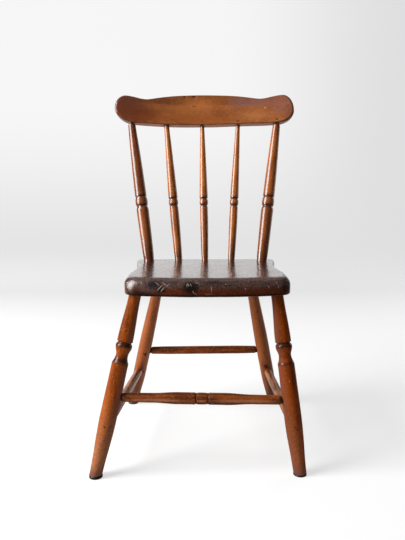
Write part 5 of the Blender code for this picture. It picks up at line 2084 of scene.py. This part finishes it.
@dataclass(frozen=True)
class Studio:
    """The pale sweep of floor and wall, the lamps, and the dim room round them."""

    half_width: float = 2.2
    front_y: float = -2.6
    wall_y: float = 2.75
    wall_top: float = 3.2
    sweep: float = 0.75
    sweep_steps: int = 24
    paper: Colour = (0.90, 0.90, 0.90)
    wall_paper: Colour = (0.40, 0.40, 0.40)
    seen_paper: Colour = (0.38, 0.38, 0.38)
    seen_wall: Colour = (0.06, 0.06, 0.06)
    wall_glow: float = 0.70
    pool_glow: float = 0.16
    floor_glow: float = 0.63
    floor_fade: float = 0.155
    wall_rise: Range = (0.0, 0.25)
    pool_rise: Range = (0.0, 1.3)
    pool_reach: Range = (0.1, 1.5)
    floor_reach: Range = (0.6, 2.5)
    near_reach: Range = (-0.3, 0.4)
    mirror_reach: Range = (0.6, 1.4)
    mirror_fade: float = 0.75
    unlit: Colour = (0.02, 0.02, 0.02)
    room: Colour = (0.05, 0.05, 0.052)
    white: float = 0.80
    lamps: Sequence[Lamp] = (
        Lamp("window", math.radians(-73.0), 1.60, 3.0, (1.7, 3.2), 240.0),
        Lamp("bounce", math.radians(128.0), 0.6, 2.6, (1.8, 1.6), 12.0),
        Lamp("ceiling", math.radians(180.0), 2.60, 1.1, (3.4, 3.0), 13.0),
    )

    def build(self) -> None:
        """Set up the stage, the lamps and the world."""
        self.sweep_paper()
        for lamp in self.lamps:
            lamp.hang()
        self.world()
        bpy.context.scene.view_settings.view_transform = "Standard"

    def sweep_paper(self) -> None:
        """Lay the paper on the floor and up the wall in one curve."""
        work = bmesh.new()
        bmesh.ops.create_grid(work, x_segments=1, y_segments=1, size=1.0)
        depth = self.wall_y - self.front_y
        bmesh.ops.scale(work, verts=work.verts, vec=(self.half_width, depth / 2.0, 1.0))
        middle = Vector((0.0, (self.wall_y + self.front_y) / 2.0, 0.0))
        bmesh.ops.translate(work, verts=work.verts, vec=middle)
        back = [edge for edge in work.edges if all(vert.co.y > middle.y for vert in edge.verts)]
        grown = bmesh.ops.extrude_edge_only(work, edges=back)
        lift(work, grown, self.wall_top)
        bmesh.ops.bevel(
            work,
            geom=back,
            offset=self.sweep,
            segments=self.sweep_steps,
            profile=0.5,
            affect="EDGES",
            material=-1,
        )
        for face in work.faces:
            face.smooth = True
        data = bpy.data.meshes.new("paper_sweep")
        work.to_mesh(data)
        work.free()
        sweep = stand("paper_sweep", data)
        data.materials.append(self.paper_finish())

    def paper_finish(self) -> Material:
        """Matt white paper that the camera and the mirror images see a little brighter than it is lit."""
        sheet = Sheet("paper")
        across, along, up = sheet.split("Object")
        path = sheet.lay("LightPath", {}).outputs
        on_wall = sheet.graph(up, *self.wall_rise)
        mirrored = sheet.times(path["Is Glossy Ray"], on_wall)
        right = sheet.times(mirrored, sheet.graph(across, *self.mirror_reach, 0.0, self.mirror_fade))
        mirrored = sheet.maths("SUBTRACT", mirrored, right)
        seen = sheet.most(path["Is Camera Ray"], mirrored, path["Is Transmission Ray"])
        far_glow = self.floor_glow - self.floor_fade
        floor = sheet.graph(along, *self.floor_reach, self.floor_glow, far_glow)
        pool = sheet.graph(up, *self.pool_rise, 0.0, self.pool_glow)
        pool = sheet.times(pool, sheet.graph(across, *self.pool_reach, 1.0, 0.0))
        wall = sheet.maths("ADD", pool, self.wall_glow)
        glow = sheet.lay("Mix", {0: on_wall, 2: floor, 3: wall}, data_type="FLOAT").outputs[0]
        near = sheet.times(path["Is Glossy Ray"], sheet.graph(along, *self.near_reach, 0.95, 0.0))
        seen_colour = sheet.over(on_wall, self.seen_paper, self.seen_wall)
        layers = [
            (near, self.unlit),
            (on_wall, self.wall_paper),
            (right, self.unlit),
            (path["Is Camera Ray"], seen_colour),
        ]
        return sheet.shade({
            "Base Color": sheet.layered(self.paper, layers),
            "Roughness": 1.0,
            "Specular IOR Level": 0.0,
            "Emission Color": EVEN,
            "Emission Strength": sheet.times(glow, seen),
        })

    def world(self) -> None:
        """A dim room for the light, and a pale one for the camera."""
        world = bpy.data.worlds.new("room")
        world.use_nodes = True
        bpy.context.scene.world = world
        tree = world.node_tree
        background = tree.nodes["Background"]
        path = tree.nodes.new("ShaderNodeLightPath")
        tint = tree.nodes.new("ShaderNodeMix")
        tint.data_type = "RGBA"
        tint.inputs[6].default_value = (*self.room, 1.0)
        tint.inputs[7].default_value = (self.white, self.white, self.white, 1.0)
        tree.links.new(path.outputs["Is Camera Ray"], tint.inputs[0])
        tree.links.new(tint.outputs[2], background.inputs["Color"])


def main() -> None:
    """Build the chair's sub-assemblies in order, then the studio round them."""
    logging.basicConfig(level=logging.INFO, format="%(message)s")
    VIEW.set_up()
    SeatPlank().build()
    Undercarriage().build()
    Back().build()
    Ironwork().build()
    Studio().build()


if __name__ == "__main__":
    main()
